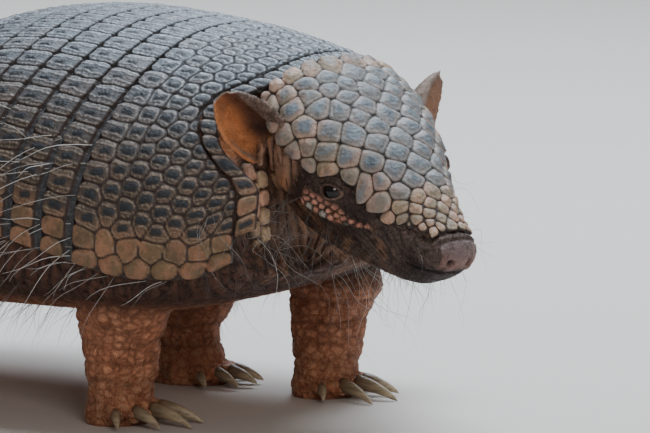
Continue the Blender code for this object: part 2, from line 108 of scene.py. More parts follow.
floor_mesh = bpy.data.meshes.new("floor")
floor_mesh.from_pydata([(x * FLOOR_HALF, y * FLOOR_HALF, 0)
                        for x, y in ((-1, -1), (1, -1), (1, 1), (-1, 1))], [], [(0, 1, 2, 3)])
floor = in_scene("floor", floor_mesh)
floor_paint = bpy.data.materials.new("floor_paint")
floor_paint.use_nodes = True
floor_shader = floor_paint.node_tree.nodes["Principled BSDF"]
floor_shader.inputs["Base Color"].default_value = FLOOR_COLOUR
floor_shader.inputs["Roughness"].default_value = 0.9
floor_mesh.materials.append(floor_paint)

# ---- armour of the back: plates of bone under horn ------------------------------------------
# The nuchal band, the shoulder shield, six movable bands and the hip shield share one arched
# surface. Each is a closed plate whose outer face carries its scutes in relief: cells round
# sites in rows, with a dark groove between them, a pale rim, and a dark boss on a ridge. The
# pale rims and ridge lines are partly painted sheen, and the slate over the back is partly a
# painted sky sheen.
SHELL_HALF_WIDTH = ((-226, 66), (-212, 80), (-195, 90), (-160, 100), (-100, 106), (-50, 107),
                    (0, 105), (35, 98), (60, 85), (77, 67), (88, 50))
SHELL_TOP = ((-226, 148), (-200, 160), (-174, 167), (-142, 173), (-84, 177), (-50, 174),
             (-20, 165.5), (10, 153.5), (40, 136), (62, 117), (78, 99), (88, 86))
SHELL_MARGIN = ((-226, 95), (-202, 80), (-185, 72.5), (-160, 71.5), (-115, 81), (-80, 87.5),
                (-30, 86), (20, 75), (55, 66), (88, 61))
ARCH_POWER = 0.88
PLATE_THICKNESS = 2.6
PLATE_GAP = 0.5
PLATE_LOWEST = -2.35         # relief goes no deeper, so the outer face clears the inner one
EDGE_ROUND = 1.9             # radius of the lower edge
NUCHAL_FRONT = -199.5
SCAPULAR_FRONT = -191.0
BANDS_FRONT = -143.0
BAND_COUNT = 6
BAND_PITCH = 15.5
BAND_SWEEP = 13.0
PELVIC_REAR = 87.0
NUCHAL_REACH = 0.93
SCUTE_PITCH = 11.0           # round the arch
SCUTE_ROUND = 2.6            # corner radius of a scute, and of one along the lower edge
MARGIN_ROUND = 4.6
MARGIN_DEPTH = 8.5           # height of the big scutes along the lower edge
MARGIN_ROWS = ((0.46, 14.0, 2), (1.5, 10.5, 1))     # height in such scutes, pitch, kind
BAND_FOLD = (0.3, 3.6)       # sunk hide before a band: on the back, then low on the flank
FOLD_DROP = 1.3
# The slate on the back is partly a painted sky sheen; the flank's brown is the horn's own colour.
SHELL_SLATE_AND_SKY_SHEEN = (0.084, 0.098, 0.116)
SHELL_BROWN = (0.056, 0.041, 0.032)
SHELL_TAN = (0.230, 0.130, 0.066)
# Pale rims: grey over the back as a painted sky sheen, buff on the flank as the horn's own colour.
RIM_GREY_AND_SHEEN = (0.42, 0.45, 0.48)
RIM_BUFF = (0.290, 0.210, 0.145)
BOSS_BLACK = (0.014, 0.016, 0.020)
SEAM_BLACK = (0.020, 0.017, 0.016)
SEAM_BROWN = (0.050, 0.031, 0.025)
FOLD_DARK = (0.030, 0.031, 0.035)
FOLD_GREY = (0.085, 0.085, 0.090)
MM = 0.001


def curve(stations, x):
    """Smooth values at x through the stations, with no overshoot."""
    knots, values = np.array(stations, float).T
    rise = np.diff(values) / np.diff(knots)
    steady = rise[:-1] * rise[1:] > 0
    total = np.where(steady, rise[:-1] + rise[1:], 1.0)
    inner = np.where(steady, 2 * rise[:-1] * rise[1:] / total, 0.0)
    slope = np.concatenate(([rise[0]], inner, [rise[-1]]))
    x = np.clip(x, knots[0], knots[-1])
    i = np.clip(np.searchsorted(knots, x) - 1, 0, len(rise) - 1)
    span = knots[i + 1] - knots[i]
    f = (x - knots[i]) / span
    return ((1 + 2 * f) * (1 - f) ** 2 * values[i] + f * (1 - f) ** 2 * span * slope[i]
            + f * f * (3 - 2 * f) * values[i + 1] - f * f * (1 - f) * span * slope[i + 1])


def smoothstep(low, high, x):
    """0 below low, 1 above high, and a smooth rise between them."""
    f = np.clip((x - low) / (high - low), 0, 1)
    return f * f * (3 - 2 * f)


def signed_power(value, power):
    return np.sign(value) * np.abs(value) ** power


def bow(u, v):
    """Forward bow, in mm, of the line that crosses the midline at y = u."""
    reach = np.abs(v)
    rump = smoothstep(BANDS_FRONT + BAND_COUNT * BAND_PITCH, 40, u)
    banded = 7.0 * np.sin(0.72 * math.pi * reach) ** 2 * rump
    banded = banded - BAND_SWEEP * smoothstep(0.2, 0.95, reach) * (1 - rump)
    notch = 15.0 * np.exp(-((reach - 0.48) / 0.17) ** 2)
    collar = 12.0 * smoothstep(0.58, 0.8, reach) - notch
    share = smoothstep(SCAPULAR_FRONT, BANDS_FRONT, u)
    return collar * (1 - share) + banded * share


def shell_surface(u, v):
    """Points on the shell: u along the midline in mm, v from -1 (right margin) to 1."""
    y = u - bow(u, v)
    half_width = curve(SHELL_HALF_WIDTH, y)
    top = curve(SHELL_TOP, y)
    margin = curve(SHELL_MARGIN, y)
    angle = v * math.pi / 2
    x = half_width * signed_power(np.sin(angle), ARCH_POWER)
    z = margin + (top - margin) * np.maximum(0, np.cos(angle)) ** ARCH_POWER
    return np.stack([x, y, z], -1)


def wobble(points, size, seed, waves=7):
    """Smooth noise, about -1 to 1, whose features are about size across."""
    rng = np.random.default_rng(seed)
    points = np.asarray(points, float)
    total = np.zeros(points.shape[:-1])
    for _ in range(waves):
        direction = rng.normal(size=points.shape[-1])
        direction *= 2 * math.pi / (2.2 * size * np.linalg.norm(direction))
        total += np.sin(points @ (direction * rng.uniform(0.6, 1.5)) + rng.uniform(0, 6.283))
    return total / math.sqrt(waves)


def grid_normals(points):
    """Outward unit normals of a surface given as a grid of points."""
    across = np.gradient(points, axis=1)
    lengthwise = np.gradient(points, axis=0)
    normal = np.cross(across, lengthwise)
    return normal / np.maximum(np.linalg.norm(normal, axis=-1, keepdims=True), 1e-9)


def write_masks(mesh, masks):
    """Each mask of the mesh's points, as an attribute that its material reads."""
    for key, values in masks.items():
        layer = mesh.attributes.new(key, "FLOAT", "POINT")
        layer.data.foreach_set("value", np.asarray(values, np.float32).ravel())


def mesh_from_arrays(name, points, quads, polygons=(), masks=None):
    """Mesh in metres from points in mm, an array of quads and a list of larger faces."""
    quads = np.asarray(quads, np.int32).reshape(-1, 4)
    sizes = np.concatenate([np.full(len(quads), 4, np.int32),
                            np.array([len(p) for p in polygons], np.int32)])
    loops = np.concatenate([quads.ravel()] + [np.array(p, np.int32) for p in polygons])
    starts = np.concatenate([[0], np.cumsum(sizes)[:-1]]).astype(np.int32)
    mesh = bpy.data.meshes.new(name)
    mesh.vertices.add(len(points))
    mesh.vertices.foreach_set("co", (np.asarray(points) * MM).astype(np.float32).ravel())
    mesh.loops.add(len(loops))
    mesh.loops.foreach_set("vertex_index", loops.astype(np.int32))
    mesh.polygons.add(len(sizes))
    mesh.polygons.foreach_set("loop_start", starts)
    mesh.update(calc_edges=True)
    write_masks(mesh, masks or {})
    mesh.shade_smooth()
    return mesh


def voronoi(points, sites, soft=0.45):
    """Distance to the nearest cell boundary, and the number of the nearest site.

    soft, in mm, rounds the corners where three cells meet.
    """
    edge = np.empty(len(points))
    nearest = np.empty(len(points), np.int32)
    batch = 20000
    for start in range(0, len(points), batch):
        block = points[start:start + batch]
        square = ((block[:, None, :] - sites[None, :, :]) ** 2).sum(-1)
        first = square.argmin(1)
        rows = np.arange(len(block))
        f1 = square[rows, first]
        gap = np.linalg.norm(sites[first][:, None, :] - sites[None, :, :], axis=-1)
        gap[rows, first] = np.inf
        wall = (square - f1[:, None]) / (2 * gap)
        wall[rows, first] = np.inf
        least = wall.min(1)
        crowd = np.exp((least[:, None] - wall) / soft).sum(1)
        edge[start:start + batch] = least - soft * np.log(crowd)
        nearest[start:start + batch] = first
    return edge, nearest


def arch_lengths(u, reach=1.0, samples=1201):
    """v at equal steps round the arch at u, and the distance round from the midline."""
    v = np.linspace(-reach, reach, samples)
    points = shell_surface(np.full(samples, float(u)), v)
    steps = np.linalg.norm(np.diff(points[:, [0, 2]], axis=0), axis=-1)
    length = np.concatenate([[0], np.cumsum(steps)])
    return v, length - length[-1] / 2


def rounded(edge, rim, corner):
    """The lesser of two distances, with a corner of this radius where they meet."""
    return corner - np.hypot(np.maximum(0, corner - edge), np.maximum(0, corner - rim))


def scute_relief(edge, across, length, rim, corner, plain, width, drop):
    """Height (mm) and tone masks of scutes, from the place within each cell.

    edge is the distance to the cell's boundary, rim the distance to the plate's free edge,
    corner the rounding where they meet. plain is 1 for smooth tan scutes and 0 for ones
    with a dark boss between ridges. drop is how far the hide outside them lies below.
    """
    outline = rounded(edge, rim, corner)
    groove = 1 - smoothstep(0.0, 0.62, outline)
    outside = 1 - smoothstep(-0.6, 0.05, outline)
    pillow = smoothstep(0.1, 3.2, edge)
    place = np.stack([across, length], -1)
    ripple = wobble(place, 1.0, 5)
    bent = across + 0.35 * wobble(place, 3.0, 6)
    boss = np.exp(-(np.abs(bent / (0.13 * width)) ** 3 + np.abs(length / 2.6) ** 4))
    flank = np.exp(-((np.abs(bent) - 0.23 * width) / 0.42) ** 2) * smoothstep(0.5, 1.4, edge)
    streak = np.abs(np.sin(math.pi * (length + 0.5 * ripple) / 1.35)) ** 3
    outer = smoothstep(0.26 * width, 0.34 * width, np.abs(bent))
    pits = smoothstep(0.35, 0.9, np.abs(wobble(place, 0.8, 9)))
    detail = (1 - plain) * (0.42 * boss + 0.30 * flank + 0.16 * streak * outer - 0.16 * pits)
    height = 0.34 * pillow - 0.80 * groove - drop * outside + detail - 0.30
    height = height - 0.10 * plain * pits
    # A pale rim round each scute and pale lines on its ridges: partly the horn's own colour,
    # partly painted sheen.
    pale_rim = smoothstep(0.5, 0.8, edge) * (1 - smoothstep(0.9, 1.7, edge))
    pale_and_sheen = 0.9 * pale_rim + (1 - plain) * (1.2 * flank + 0.7 * streak * outer * (edge > 0.8))
    pale_and_sheen = np.clip(pale_and_sheen * (0.75 + 0.35 * ripple), 0, 1)
    sunk = smoothstep(0.14 * width, 0.18 * width, np.abs(bent)) * (1 - outer)
    dark = (1 - plain) * np.clip(1.4 * boss + 0.3 * sunk * (1 - flank) + 0.2 * pits, 0, 1)
    return height, np.clip(groove + outside, 0, 1), outside, pale_and_sheen, dark


def strip(near, far):
    """Quads between two rows or columns of point numbers."""
    return np.stack([near[:-1], near[1:], far[1:], far[:-1]], -1)


def relief_plate(name, base, height, thickness, inner_steps, masks):
    """Closed plate: a fine outer face in relief, edges, and a coarse inner face."""
    rows, columns = base.shape[:2]
    normal = grid_normals(base)
    outer = base + normal * height[..., None]
    kept = np.unique(np.linspace(0, rows - 1, inner_steps + 1).round().astype(int))
    inner = base[kept] - normal[kept] * thickness
    points = np.concatenate([outer.reshape(-1, 3), inner.reshape(-1, 3)])
    index = np.arange(rows * columns).reshape(rows, columns)
    under = rows * columns + np.arange(len(kept) * columns).reshape(len(kept), columns)
    faces = [strip(a, b) for a, b in zip(index, index[1:])]
    faces += [strip(b, a) for a, b in zip(under, under[1:])]
    faces += [strip(under[0], index[0]), strip(index[-1], under[-1])]
    sides = []
    for k, (start, end) in enumerate(zip(kept, kept[1:])):
        left = list(index[start:end + 1, 0])
        right = list(index[start:end + 1, -1])
        sides.append(left + [under[k + 1, 0], under[k, 0]])
        sides.append(right[::-1] + [under[k, -1], under[k + 1, -1]])
    # The inner face shows only along the plate's edges, with fainter grooves.
    spread = {}
    for key, values in masks.items():
        share = 0.6 if key == "groove" else 1.0
        spread[key] = np.concatenate([values.ravel(), share * values[kept].ravel()])
    return mesh_from_arrays(name, points, np.concatenate(faces), sides, spread)


def shade_tree(name):
    """A new material, its node tree and its shader."""
    material = bpy.data.materials.new(name)
    material.use_nodes = True
    tree = material.node_tree
    return material, tree, tree.nodes["Principled BSDF"]


def node(tree, kind, inputs=None, **settings):
    """A shader node with its settings and inputs; an input may be another node's output."""
    made = tree.nodes.new(kind)
    for key, value in settings.items():
        setattr(made, key, value)
    for key, value in (inputs or {}).items():
        if isinstance(value, bpy.types.NodeSocket):
            tree.links.new(value, made.inputs[key])
        else:
            made.inputs[key].default_value = value
    return made


def mix(tree, factor, first, second, blend="MIX"):
    """Colour mix; first and second are colours or outputs."""
    made = node(tree, "ShaderNodeMix", data_type="RGBA", blend_type=blend)
    for socket, value in ((made.inputs[0], factor), (made.inputs[6], first),
                          (made.inputs[7], second)):
        if isinstance(value, bpy.types.NodeSocket):
            tree.links.new(value, socket)
        elif isinstance(value, (int, float)):
            socket.default_value = value
        else:
            socket.default_value = (*value, 1.0)
    return made.outputs[2]


def times(tree, first, second):
    """One colour multiplied by another."""
    return mix(tree, 1.0, first, second, "MULTIPLY")


def mask(tree, key):
    return node(tree, "ShaderNodeAttribute", attribute_name=key).outputs["Fac"]


def noise(tree, scale, detail=3.0, roughness=0.55, stretch=(1, 1, 1)):
    """Noise on the object's own place; scale is in cells for each metre."""
    place = node(tree, "ShaderNodeTexCoord").outputs["Object"]
    mapped = node(tree, "ShaderNodeMapping", {"Vector": place, "Scale": stretch})
    return node(tree, "ShaderNodeTexNoise",
                {"Vector": mapped.outputs[0], "Scale": scale, "Detail": detail,
                 "Roughness": roughness}).outputs["Fac"]


def ramp(tree, value, low, high, start=0.0, end=1.0):
    """Goes smoothly from start to end as value goes from low to high."""
    return node(tree, "ShaderNodeMapRange",
                {"Value": value, "From Min": low, "From Max": high, "To Min": start,
                 "To Max": end}, interpolation_type="SMOOTHSTEP").outputs[0]


def bump(tree, height, distance, strength=1.0, under=None):
    """Relief, distance metres high, added to the relief under it."""
    made = node(tree, "ShaderNodeBump", {"Height": height, "Distance": distance,
                                         "Strength": strength})
    if under is not None:
        tree.links.new(under, made.inputs["Normal"])
    return made.outputs[0]


def armour_material(name, slate, brown, tan):
    """Horn over bone: slate on the back, partly a painted sky sheen on the shell, brown on the
    flank, tan where the mask says, and pale lines that are partly painted sheen.
    """
    material, tree, shader = shade_tree(name)
    blotch = noise(tree, 55, 3)
    grain = noise(tree, 900, 4, 0.65)
    # Slate over the back and brown on the flank; on the shell and tail the slate is partly a
    # painted sky sheen.
    body = mix(tree, mask(tree, "low"), slate, brown)
    warmth = ramp(tree, noise(tree, 120, 2), 0.40, 0.60)
    tan = mix(tree, warmth, times(tree, tan, (0.74, 0.80, 0.76)),
              times(tree, tan, (1.26, 1.10, 1.16)))
    body = mix(tree, mask(tree, "tan"), body, tan)
    body = mix(tree, ramp(tree, blotch, 0.3, 0.75, 0.0, 0.5), body,
               times(tree, body, (0.62, 0.58, 0.55)))
    # Pale rims and ridge lines, partly the horn's own colour and partly painted sheen, grey-blue
    # over the back.
    light = mix(tree, mask(tree, "low"), RIM_GREY_AND_SHEEN, RIM_BUFF)
    speck = ramp(tree, noise(tree, 520, 4, 0.7), 0.42, 0.62)
    pale_and_sheen_lines = mix(tree, ramp(tree, mask(tree, "pale_and_sheen"), 0.05, 0.85, 0.0, 0.85), body, light)
    body = mix(tree, ramp(tree, speck, 0.0, 1.0, 0.35, 1.0), body, pale_and_sheen_lines)
    body = mix(tree, ramp(tree, grain, 0.45, 0.72, 0.0, 0.5), body,
               times(tree, body, (1.7, 1.65, 1.6)))
    dirt = ramp(tree, noise(tree, 260, 5, 0.7), 0.5, 0.68, 0.0, 0.55)
    body = mix(tree, dirt, body, times(tree, body, (0.42, 0.38, 0.35)))
    body = mix(tree, ramp(tree, mask(tree, "dark"), 0.15, 0.75, 0.0, 0.95), body, BOSS_BLACK)
    seam = mix(tree, mask(tree, "low"), SEAM_BLACK, SEAM_BROWN)
    body = mix(tree, ramp(tree, mask(tree, "groove"), 0.1, 0.8), body, seam)
    hide = mix(tree, ramp(tree, grain, 0.4, 0.7), FOLD_DARK, FOLD_GREY)
    body = mix(tree, ramp(tree, mask(tree, "fold"), 0.6, 1.0, 0.0, 0.9), body, hide)
    tree.links.new(body, shader.inputs["Base Color"])
    rough = ramp(tree, grain, 0.2, 0.8, 0.34, 0.58)
    tree.links.new(rough, shader.inputs["Roughness"])
    shader.inputs["Specular IOR Level"].default_value = 0.36
    scratch = noise(tree, 520, 4, 0.7, (1, 0.3, 1))
    dents = noise(tree, 330, 5, 0.7)
    relief = bump(tree, dents, 0.0011, 0.8)
    relief = bump(tree, scratch, 0.0007, 0.9, relief)
    relief = bump(tree, grain, 0.0003, 0.9, relief)
    tree.links.new(relief, shader.inputs["Normal"])
    return material


shell_horn = armour_material("shell_horn", SHELL_SLATE_AND_SKY_SHEEN, SHELL_BROWN, SHELL_TAN)


def row_sites(half_length, pitch, at, shift, rng, jitter):
    """Sites in a row round the arch, the same number on each side of the midline."""
    count = max(1, int(round(half_length / pitch)))
    step = half_length / count
    places = (np.arange(-count, count + 1) + shift) * step
    places = places[np.abs(places) < half_length - 0.35 * step]
    row = np.stack([places, np.full(len(places), float(at))], -1)
    return row + rng.uniform(-jitter, jitter, row.shape)


def scute_sites(rows, half, total, border, rng):
    """Middles of a plate's scutes: place round the arch and distance from its rear edge.

    The kind of each comes with them: 2 along the lower edge, 1 above it, 0 elsewhere.
    """
    sites = [row_sites(half - border, pitch, at, shift, rng, jitter)
             for at, pitch, shift, jitter in rows]
    kinds = [0] * sum(len(row) for row in sites)
    if border:
        for depth, pitch, kind in MARGIN_ROWS:
            count = max(1, int(round(total / pitch)))
            for side in (-1, 1):
                at = (np.arange(count) + 0.5) * total / count
                at = at + rng.uniform(-0.5, 0.5, count)
                place = np.full(count, side * (half - depth * MARGIN_DEPTH))
                sites.append(np.stack([place, at], -1))
                kinds += [kind] * count
    return np.concatenate(sites), np.array(kinds)


def armour_plate(name, front, rear, rows, reach=1.0, spacing=0.55, inner_steps=2, fold=None,
                 seed=1, even=False):
    """One plate of the arch, from front to rear in mm along the midline.

    rows gives (distance from the rear edge, pitch, half-step shift, jitter) of each row
    of scutes; fold is the width of sunk hide before a movable band, on the back and low
    down; spacing is that of the points. On an even plate the rows keep their distance
    where the plate widens.
    """
    middle = (front + rear) / 2
    v_samples, lengths = arch_lengths(middle, reach)
    half = lengths[-1]
    columns = int(2 * half / spacing)
    a_line = np.linspace(-half, half, columns)
    v_line = np.interp(a_line, lengths, v_samples)
    u_line = np.linspace(front, rear, max(8, int((rear - front) / spacing)))
    u, v = np.meshgrid(u_line, v_line, indexing="ij")
    base = shell_surface(u, v)
    # Distance along the plate from its rear edge, at true length on the sloping rump.
    centre_line = shell_surface(u_line, np.zeros(len(u_line)))
    steps = np.linalg.norm(np.diff(centre_line, axis=0), axis=-1)
    along = np.concatenate([[0], np.cumsum(steps)])
    from_rear = np.repeat((along[-1] - along)[:, None], columns, 1)
    whole = np.full(columns, along[-1])
    if even:
        strides = np.linalg.norm(np.diff(base, axis=0), axis=-1)
        passed = np.concatenate([np.zeros((1, columns)), np.cumsum(strides, axis=0)])
        whole = passed[-1]
        from_rear = whole[None, :] - passed
    a = np.repeat(a_line[None, :], len(u_line), 0)
    rng = np.random.default_rng(seed)
    border = 2 * MARGIN_DEPTH if reach == 1.0 else 0.0
    sites, kinds = scute_sites(rows, half, whole[0], border, rng)
    flat = np.stack([a, from_rear], -1).reshape(-1, 2)
    warped = flat + 0.35 * np.stack([wobble(flat, 5.0, seed + 7), wobble(flat, 5.0, seed + 8)], -1)
    edge, nearest = voronoi(warped, sites)
    offset = warped - sites[nearest]
    shape = a.shape
    total = whole[None, :]
    fold_width = 0.35 if fold is None else fold[0] + (fold[1] - fold[0]) * smoothstep(
        0.35, 0.95, np.abs(a) / half)
    ahead = total - from_rear - fold_width
    rim = np.minimum(ahead, from_rear)
    if border:
        rim = np.minimum(rim, half - np.abs(a))
    edge = edge.reshape(shape)
    chance = rng.uniform(0, 1, len(sites))[nearest].reshape(shape)
    kind = kinds[nearest].reshape(shape)
    # low: 0 over the back, where the slate is partly a painted sky sheen, to 1 on the brown flank.
    low = smoothstep(0.25, 0.8, np.abs(a) / half)
    tan = np.clip(smoothstep(half - 30, half - 13, np.abs(a)) + 0.5 * (chance - 0.6), 0, 1)
    tan = np.maximum(tan, kind >= 1)
    plain = np.where(kind >= 1, 1.0, smoothstep(0.5, 1.0, tan) * 0.7)
    across = offset[:, 0].reshape(shape)
    length = offset[:, 1].reshape(shape)
    corner = np.where(kind == 2, MARGIN_ROUND, SCUTE_ROUND)
    height, groove, sunk, pale_and_sheen, dark = scute_relief(edge, across, length, rim, corner, plain,
                                                    SCUTE_PITCH, FOLD_DROP)
    pale_and_sheen = pale_and_sheen * np.where(kind == 2, 0.35, 1.0)
    height = height + 0.9 * (kind == 2) * smoothstep(0.2, 3.0, np.minimum(edge, rim + 1.5))
    lip = np.clip(EDGE_ROUND - (half - np.abs(a)), 0, EDGE_ROUND) if border else 0 * a
    height = height - (EDGE_ROUND - np.sqrt(np.maximum(0, EDGE_ROUND ** 2 - lip ** 2)))
    height = np.maximum(height, PLATE_LOWEST)
    masks = {"groove": groove, "fold": sunk * (fold is not None), "pale_and_sheen": pale_and_sheen, "dark": dark,
             "tan": tan * (1 - 0.3 * chance), "low": low}
    mesh = relief_plate(name, base, height, PLATE_THICKNESS, inner_steps, masks)
    mesh.materials.append(shell_horn)
    return in_scene(name, mesh)


def settle(piece, slot, *replaced):
    """Fixes a finished piece to the body, in place of the plain solids it stands for."""
    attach(piece, "root")
    if replaced:
        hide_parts(*replaced)


nuchal = armour_plate("nuchal_scutes", NUCHAL_FRONT, SCAPULAR_FRONT - PLATE_GAP,
                      ((4.0, 8.5, 0.5, 0.3),), NUCHAL_REACH, 0.45, 2, None, 11)
settle(nuchal, "shell", "nuchal_band")
scapular_rows = ((6.6, 10.2, 0.5, 0.3), (16.4, 9.4, 0.0, 0.5)) + tuple(
    (24.6 + 8.2 * k, 9.0, 0.5 * (1 - k % 2), 0.6 if k < 7 else 0.5) for k in range(8))
scapular = armour_plate("scapular_scutes", SCAPULAR_FRONT, BANDS_FRONT - PLATE_GAP,
                        scapular_rows, 1.0, 0.56, 8, None, 12, True)
settle(scapular, "shell", "scapular_shield")
for number in range(BAND_COUNT):
    start = BANDS_FRONT + BAND_PITCH * number
    band = armour_plate(f"band_scutes_{number + 1}", start, start + BAND_PITCH - PLATE_GAP,
                        ((6.2, SCUTE_PITCH, 0.5, 0.2),), 1.0, 0.47, 2, BAND_FOLD, 20 + number)
    settle(band, "shell", f"band_{number + 1}")
pelvic_rows = tuple((5.5 + 11.4 * k, 9.4, 0.5 * (k % 2), 0.6) for k in range(15))
pelvic = armour_plate("pelvic_scutes", BANDS_FRONT + BAND_COUNT * BAND_PITCH, PELVIC_REAR,
                      pelvic_rows, 1.0, 0.74, 12, BAND_FOLD, 30)
settle(pelvic, "shell", "pelvic_shield")

# ---- head shield ---------------------------------------------------------------------------
# A single shield of large fused scutes from the nape to the nose. The scutes are smooth and
# low, slate in the middle, tan to cream along the edges and at the nose, with dark seams.
HEAD_ORIGIN = np.array((-19.5, -213.5, 165.5))
HEAD_PITCH = math.radians(39.5)
HEAD_YAW = math.radians(18.5)
HEAD_TURN = Matrix.Rotation(-HEAD_YAW, 3, "Z")
HEAD_FRAME = np.array(HEAD_TURN @ Matrix.Rotation(HEAD_PITCH, 3, "X"))
HEAD_TOP = ((0, 0), (28, 5), (55, 5.5), (85, 2.5), (105, 0), (113, -2.5), (118, -6.5))
HEAD_HALF_WIDTH = ((0, 31.5), (8, 38), (28, 41), (50, 35.5), (65, 28), (82, 21), (100, 15.5),
                   (110, 13.5), (115, 11), (118, 6.5))
HEAD_EDGE_DEPTH = ((0, 17), (28, 22.5), (55, 20.5), (75, 18), (95, 14), (110, 11.5), (118, 10.5))
SHIELD_LENGTH = 107.0
SHIELD_THICKNESS = 2.2
SHIELD_ROUND = 3.4           # corner radius of its scutes
SHIELD_SLATE = (0.135, 0.165, 0.190)
SHIELD_GREY = (0.14, 0.125, 0.11)
SHIELD_TAN = (0.37, 0.255, 0.165)
NAPE_SLOPE = math.radians(12)
NAPE_POINT = np.array((-19, -213.5, 161))
# Distance from the nape, then places round the head on one side, 0 at the midline and 1 at
# the widest point; the other side mirrors them.
HEAD_SCUTES = (
    (4.5, (0.1, 0.29, 0.49, 0.72, 0.92)), (13.5, (0.0, 0.2, 0.4, 0.62, 0.86)),
    (20.5, (0.1, 0.26, 0.42)), (21.5, (0.64, 0.95)), (26.5, (0.0, 0.18)),
    (29.5, (0.42, 0.88)), (34.5, (0.09, 0.29, 0.66)), (38.0, (0.93,)),
    (41.5, (0.0, 0.2, 0.48, 0.78)), (48.0, (0.95,)), (48.5, (0.12, 0.36, 0.70)),
    (56.0, (0.0, 0.24, 0.56, 0.85)), (63.0, (0.13, 0.46, 0.76)), (70.5, (0.29, 0.72)),
    (70.0, (0.0,)), (73.5, (0.52,)), (79.0, (0.17, 0.74)), (81.0, (0.43,)),
    (86.5, (0.0, 0.28, 0.60, 0.86)), (91.5, (0.15, 0.44, 0.74)),
    (96.0, (0.0, 0.28, 0.55, 0.78)), (100.0, (0.14, 0.40, 0.58)), (103.8, (0.0, 0.25, 0.43)))


def head_point(s, t, n):
    """Head frame (s left, t forward, n up) to the body's frame."""
    return HEAD_ORIGIN + np.stack([s, -t, n], -1) @ HEAD_FRAME.T


def head_surface(t, v):
    """Points on the top of the head: v from -1, its right edge, over the top to 1."""
    angle = v * math.pi / 2
    edge = -curve(HEAD_EDGE_DEPTH, t)
    s = curve(HEAD_HALF_WIDTH, t) * signed_power(np.sin(angle), 0.86)
    n = edge + (curve(HEAD_TOP, t) - edge) * np.maximum(0, np.cos(angle)) ** 0.95
    return head_point(s, t, n)


def shield_reach(t):
    """How far down the side the shield comes, higher over the eye and at the nose."""
    over_eye = np.exp(-((t - 62.5) / 7.5) ** 4)
    return 0.97 - 0.15 * over_eye - 0.42 * smoothstep(86, 108, t)


def build_head_shield():
    """The shield's plate; its rear edge keeps clear of the collar behind the nape."""
    rows, columns = 260, 190
    nape_normal = np.array(HEAD_TURN @ Matrix.Rotation(NAPE_SLOPE, 3, "X"))[:, 1]
    w_line = np.linspace(-1, 1, columns)
    rear = head_surface(np.full(columns, 0.5), 0.93 * w_line)
    behind = np.maximum(0, (rear - NAPE_POINT) @ nape_normal)
    first = 0.5 + 0.45 * behind
    share = np.linspace(0, 1, rows)[:, None]
    t = first + (SHIELD_LENGTH - first) * share
    w = np.repeat(w_line[None, :], rows, 0)
    v = w * shield_reach(t)
    base = head_surface(t, v)
    rng = np.random.default_rng(41)
    places = []
    for at, spots in HEAD_SCUTES:
        for spot in spots:
            for side in (-1, 1) if spot > 0 else (1,):
                place = (at + rng.uniform(-1.1, 1.1), side * spot + rng.uniform(-0.02, 0.02))
                places.append(place)
    places = np.array(places)
    sites = head_surface(places[:, 0], places[:, 1])
    flat = base.reshape(-1, 3)
    warp = np.stack([wobble(flat, 7.0, seed) for seed in (51, 52, 53)], -1)
    edge, nearest = voronoi(flat + 0.45 * warp, sites, 0.55)
    edge = edge.reshape(rows, columns)
    at = places[nearest].reshape(rows, columns, 2)
    chance = rng.uniform(0, 1, len(sites))[nearest].reshape(rows, columns)
    half_arc = curve(HEAD_HALF_WIDTH, t) * 1.18 * shield_reach(t)
    rim = np.minimum((1 - np.abs(w)) * half_arc, np.minimum(SHIELD_LENGTH - t, t - first))
    outline = rounded(edge, rim, SHIELD_ROUND)
    groove = 1 - smoothstep(-0.1, 0.42, outline)
    outside = 1 - smoothstep(-1.0, -0.2, outline)
    crown = 0.90 * smoothstep(-0.2, 2.8, edge) + 0.40 * smoothstep(1.0, 5.0, edge)
    dents = (0.10 * wobble(flat, 2.4, 61) + 0.08 * wobble(flat, 1.1, 62)).reshape(rows, columns)
    height = crown + dents - 0.6 * groove - 1.5 * outside - 0.6
    cell_t, cell_v = at[..., 0], np.abs(at[..., 1])
    warm = np.maximum(smoothstep(76, 90, cell_t), 0.75 * (1 - smoothstep(5, 15, cell_t)))
    warm = np.maximum(warm, smoothstep(0.62, 0.85, cell_v) * (0.55 + 0.45 * (cell_t > 50)))
    warm = np.clip(warm + 0.35 * (chance - 0.55), 0, 1)
    border = 1 - smoothstep(0.8, 3.6, edge + 0.5 * wobble(flat, 3.0, 63).reshape(rows, columns))
    warm = np.clip(warm * (1.1 - 0.6 * smoothstep(2, 5, edge) * (cell_t < 72)), 0, 1)
    warm = np.maximum(warm, border * (0.30 + 0.45 * smoothstep(0.3, 0.7, cell_v)))
    # Pale rims of the scutes, partly painted sheen.
    pale_and_sheen = smoothstep(0.5, 0.8, edge) * (1 - smoothstep(0.9, 2.0, edge)) * 0.55
    masks = {"groove": np.clip(groove + outside, 0, 1), "pale_and_sheen": pale_and_sheen, "tan": warm,
             "dark": 0.45 * (chance < 0.3) * smoothstep(1.5, 4.0, edge), "low": 0.6 * warm}
    mesh = relief_plate("head_scutes", base[:, ::-1], height[:, ::-1], SHIELD_THICKNESS, 10,
                        {key: values[:, ::-1] for key, values in masks.items()})
    mesh.materials.append(armour_material("head_horn", SHIELD_SLATE, SHIELD_GREY, SHIELD_TAN))
    return in_scene("head_scutes", mesh)


settle(build_head_shield(), "shell", "head_shield")

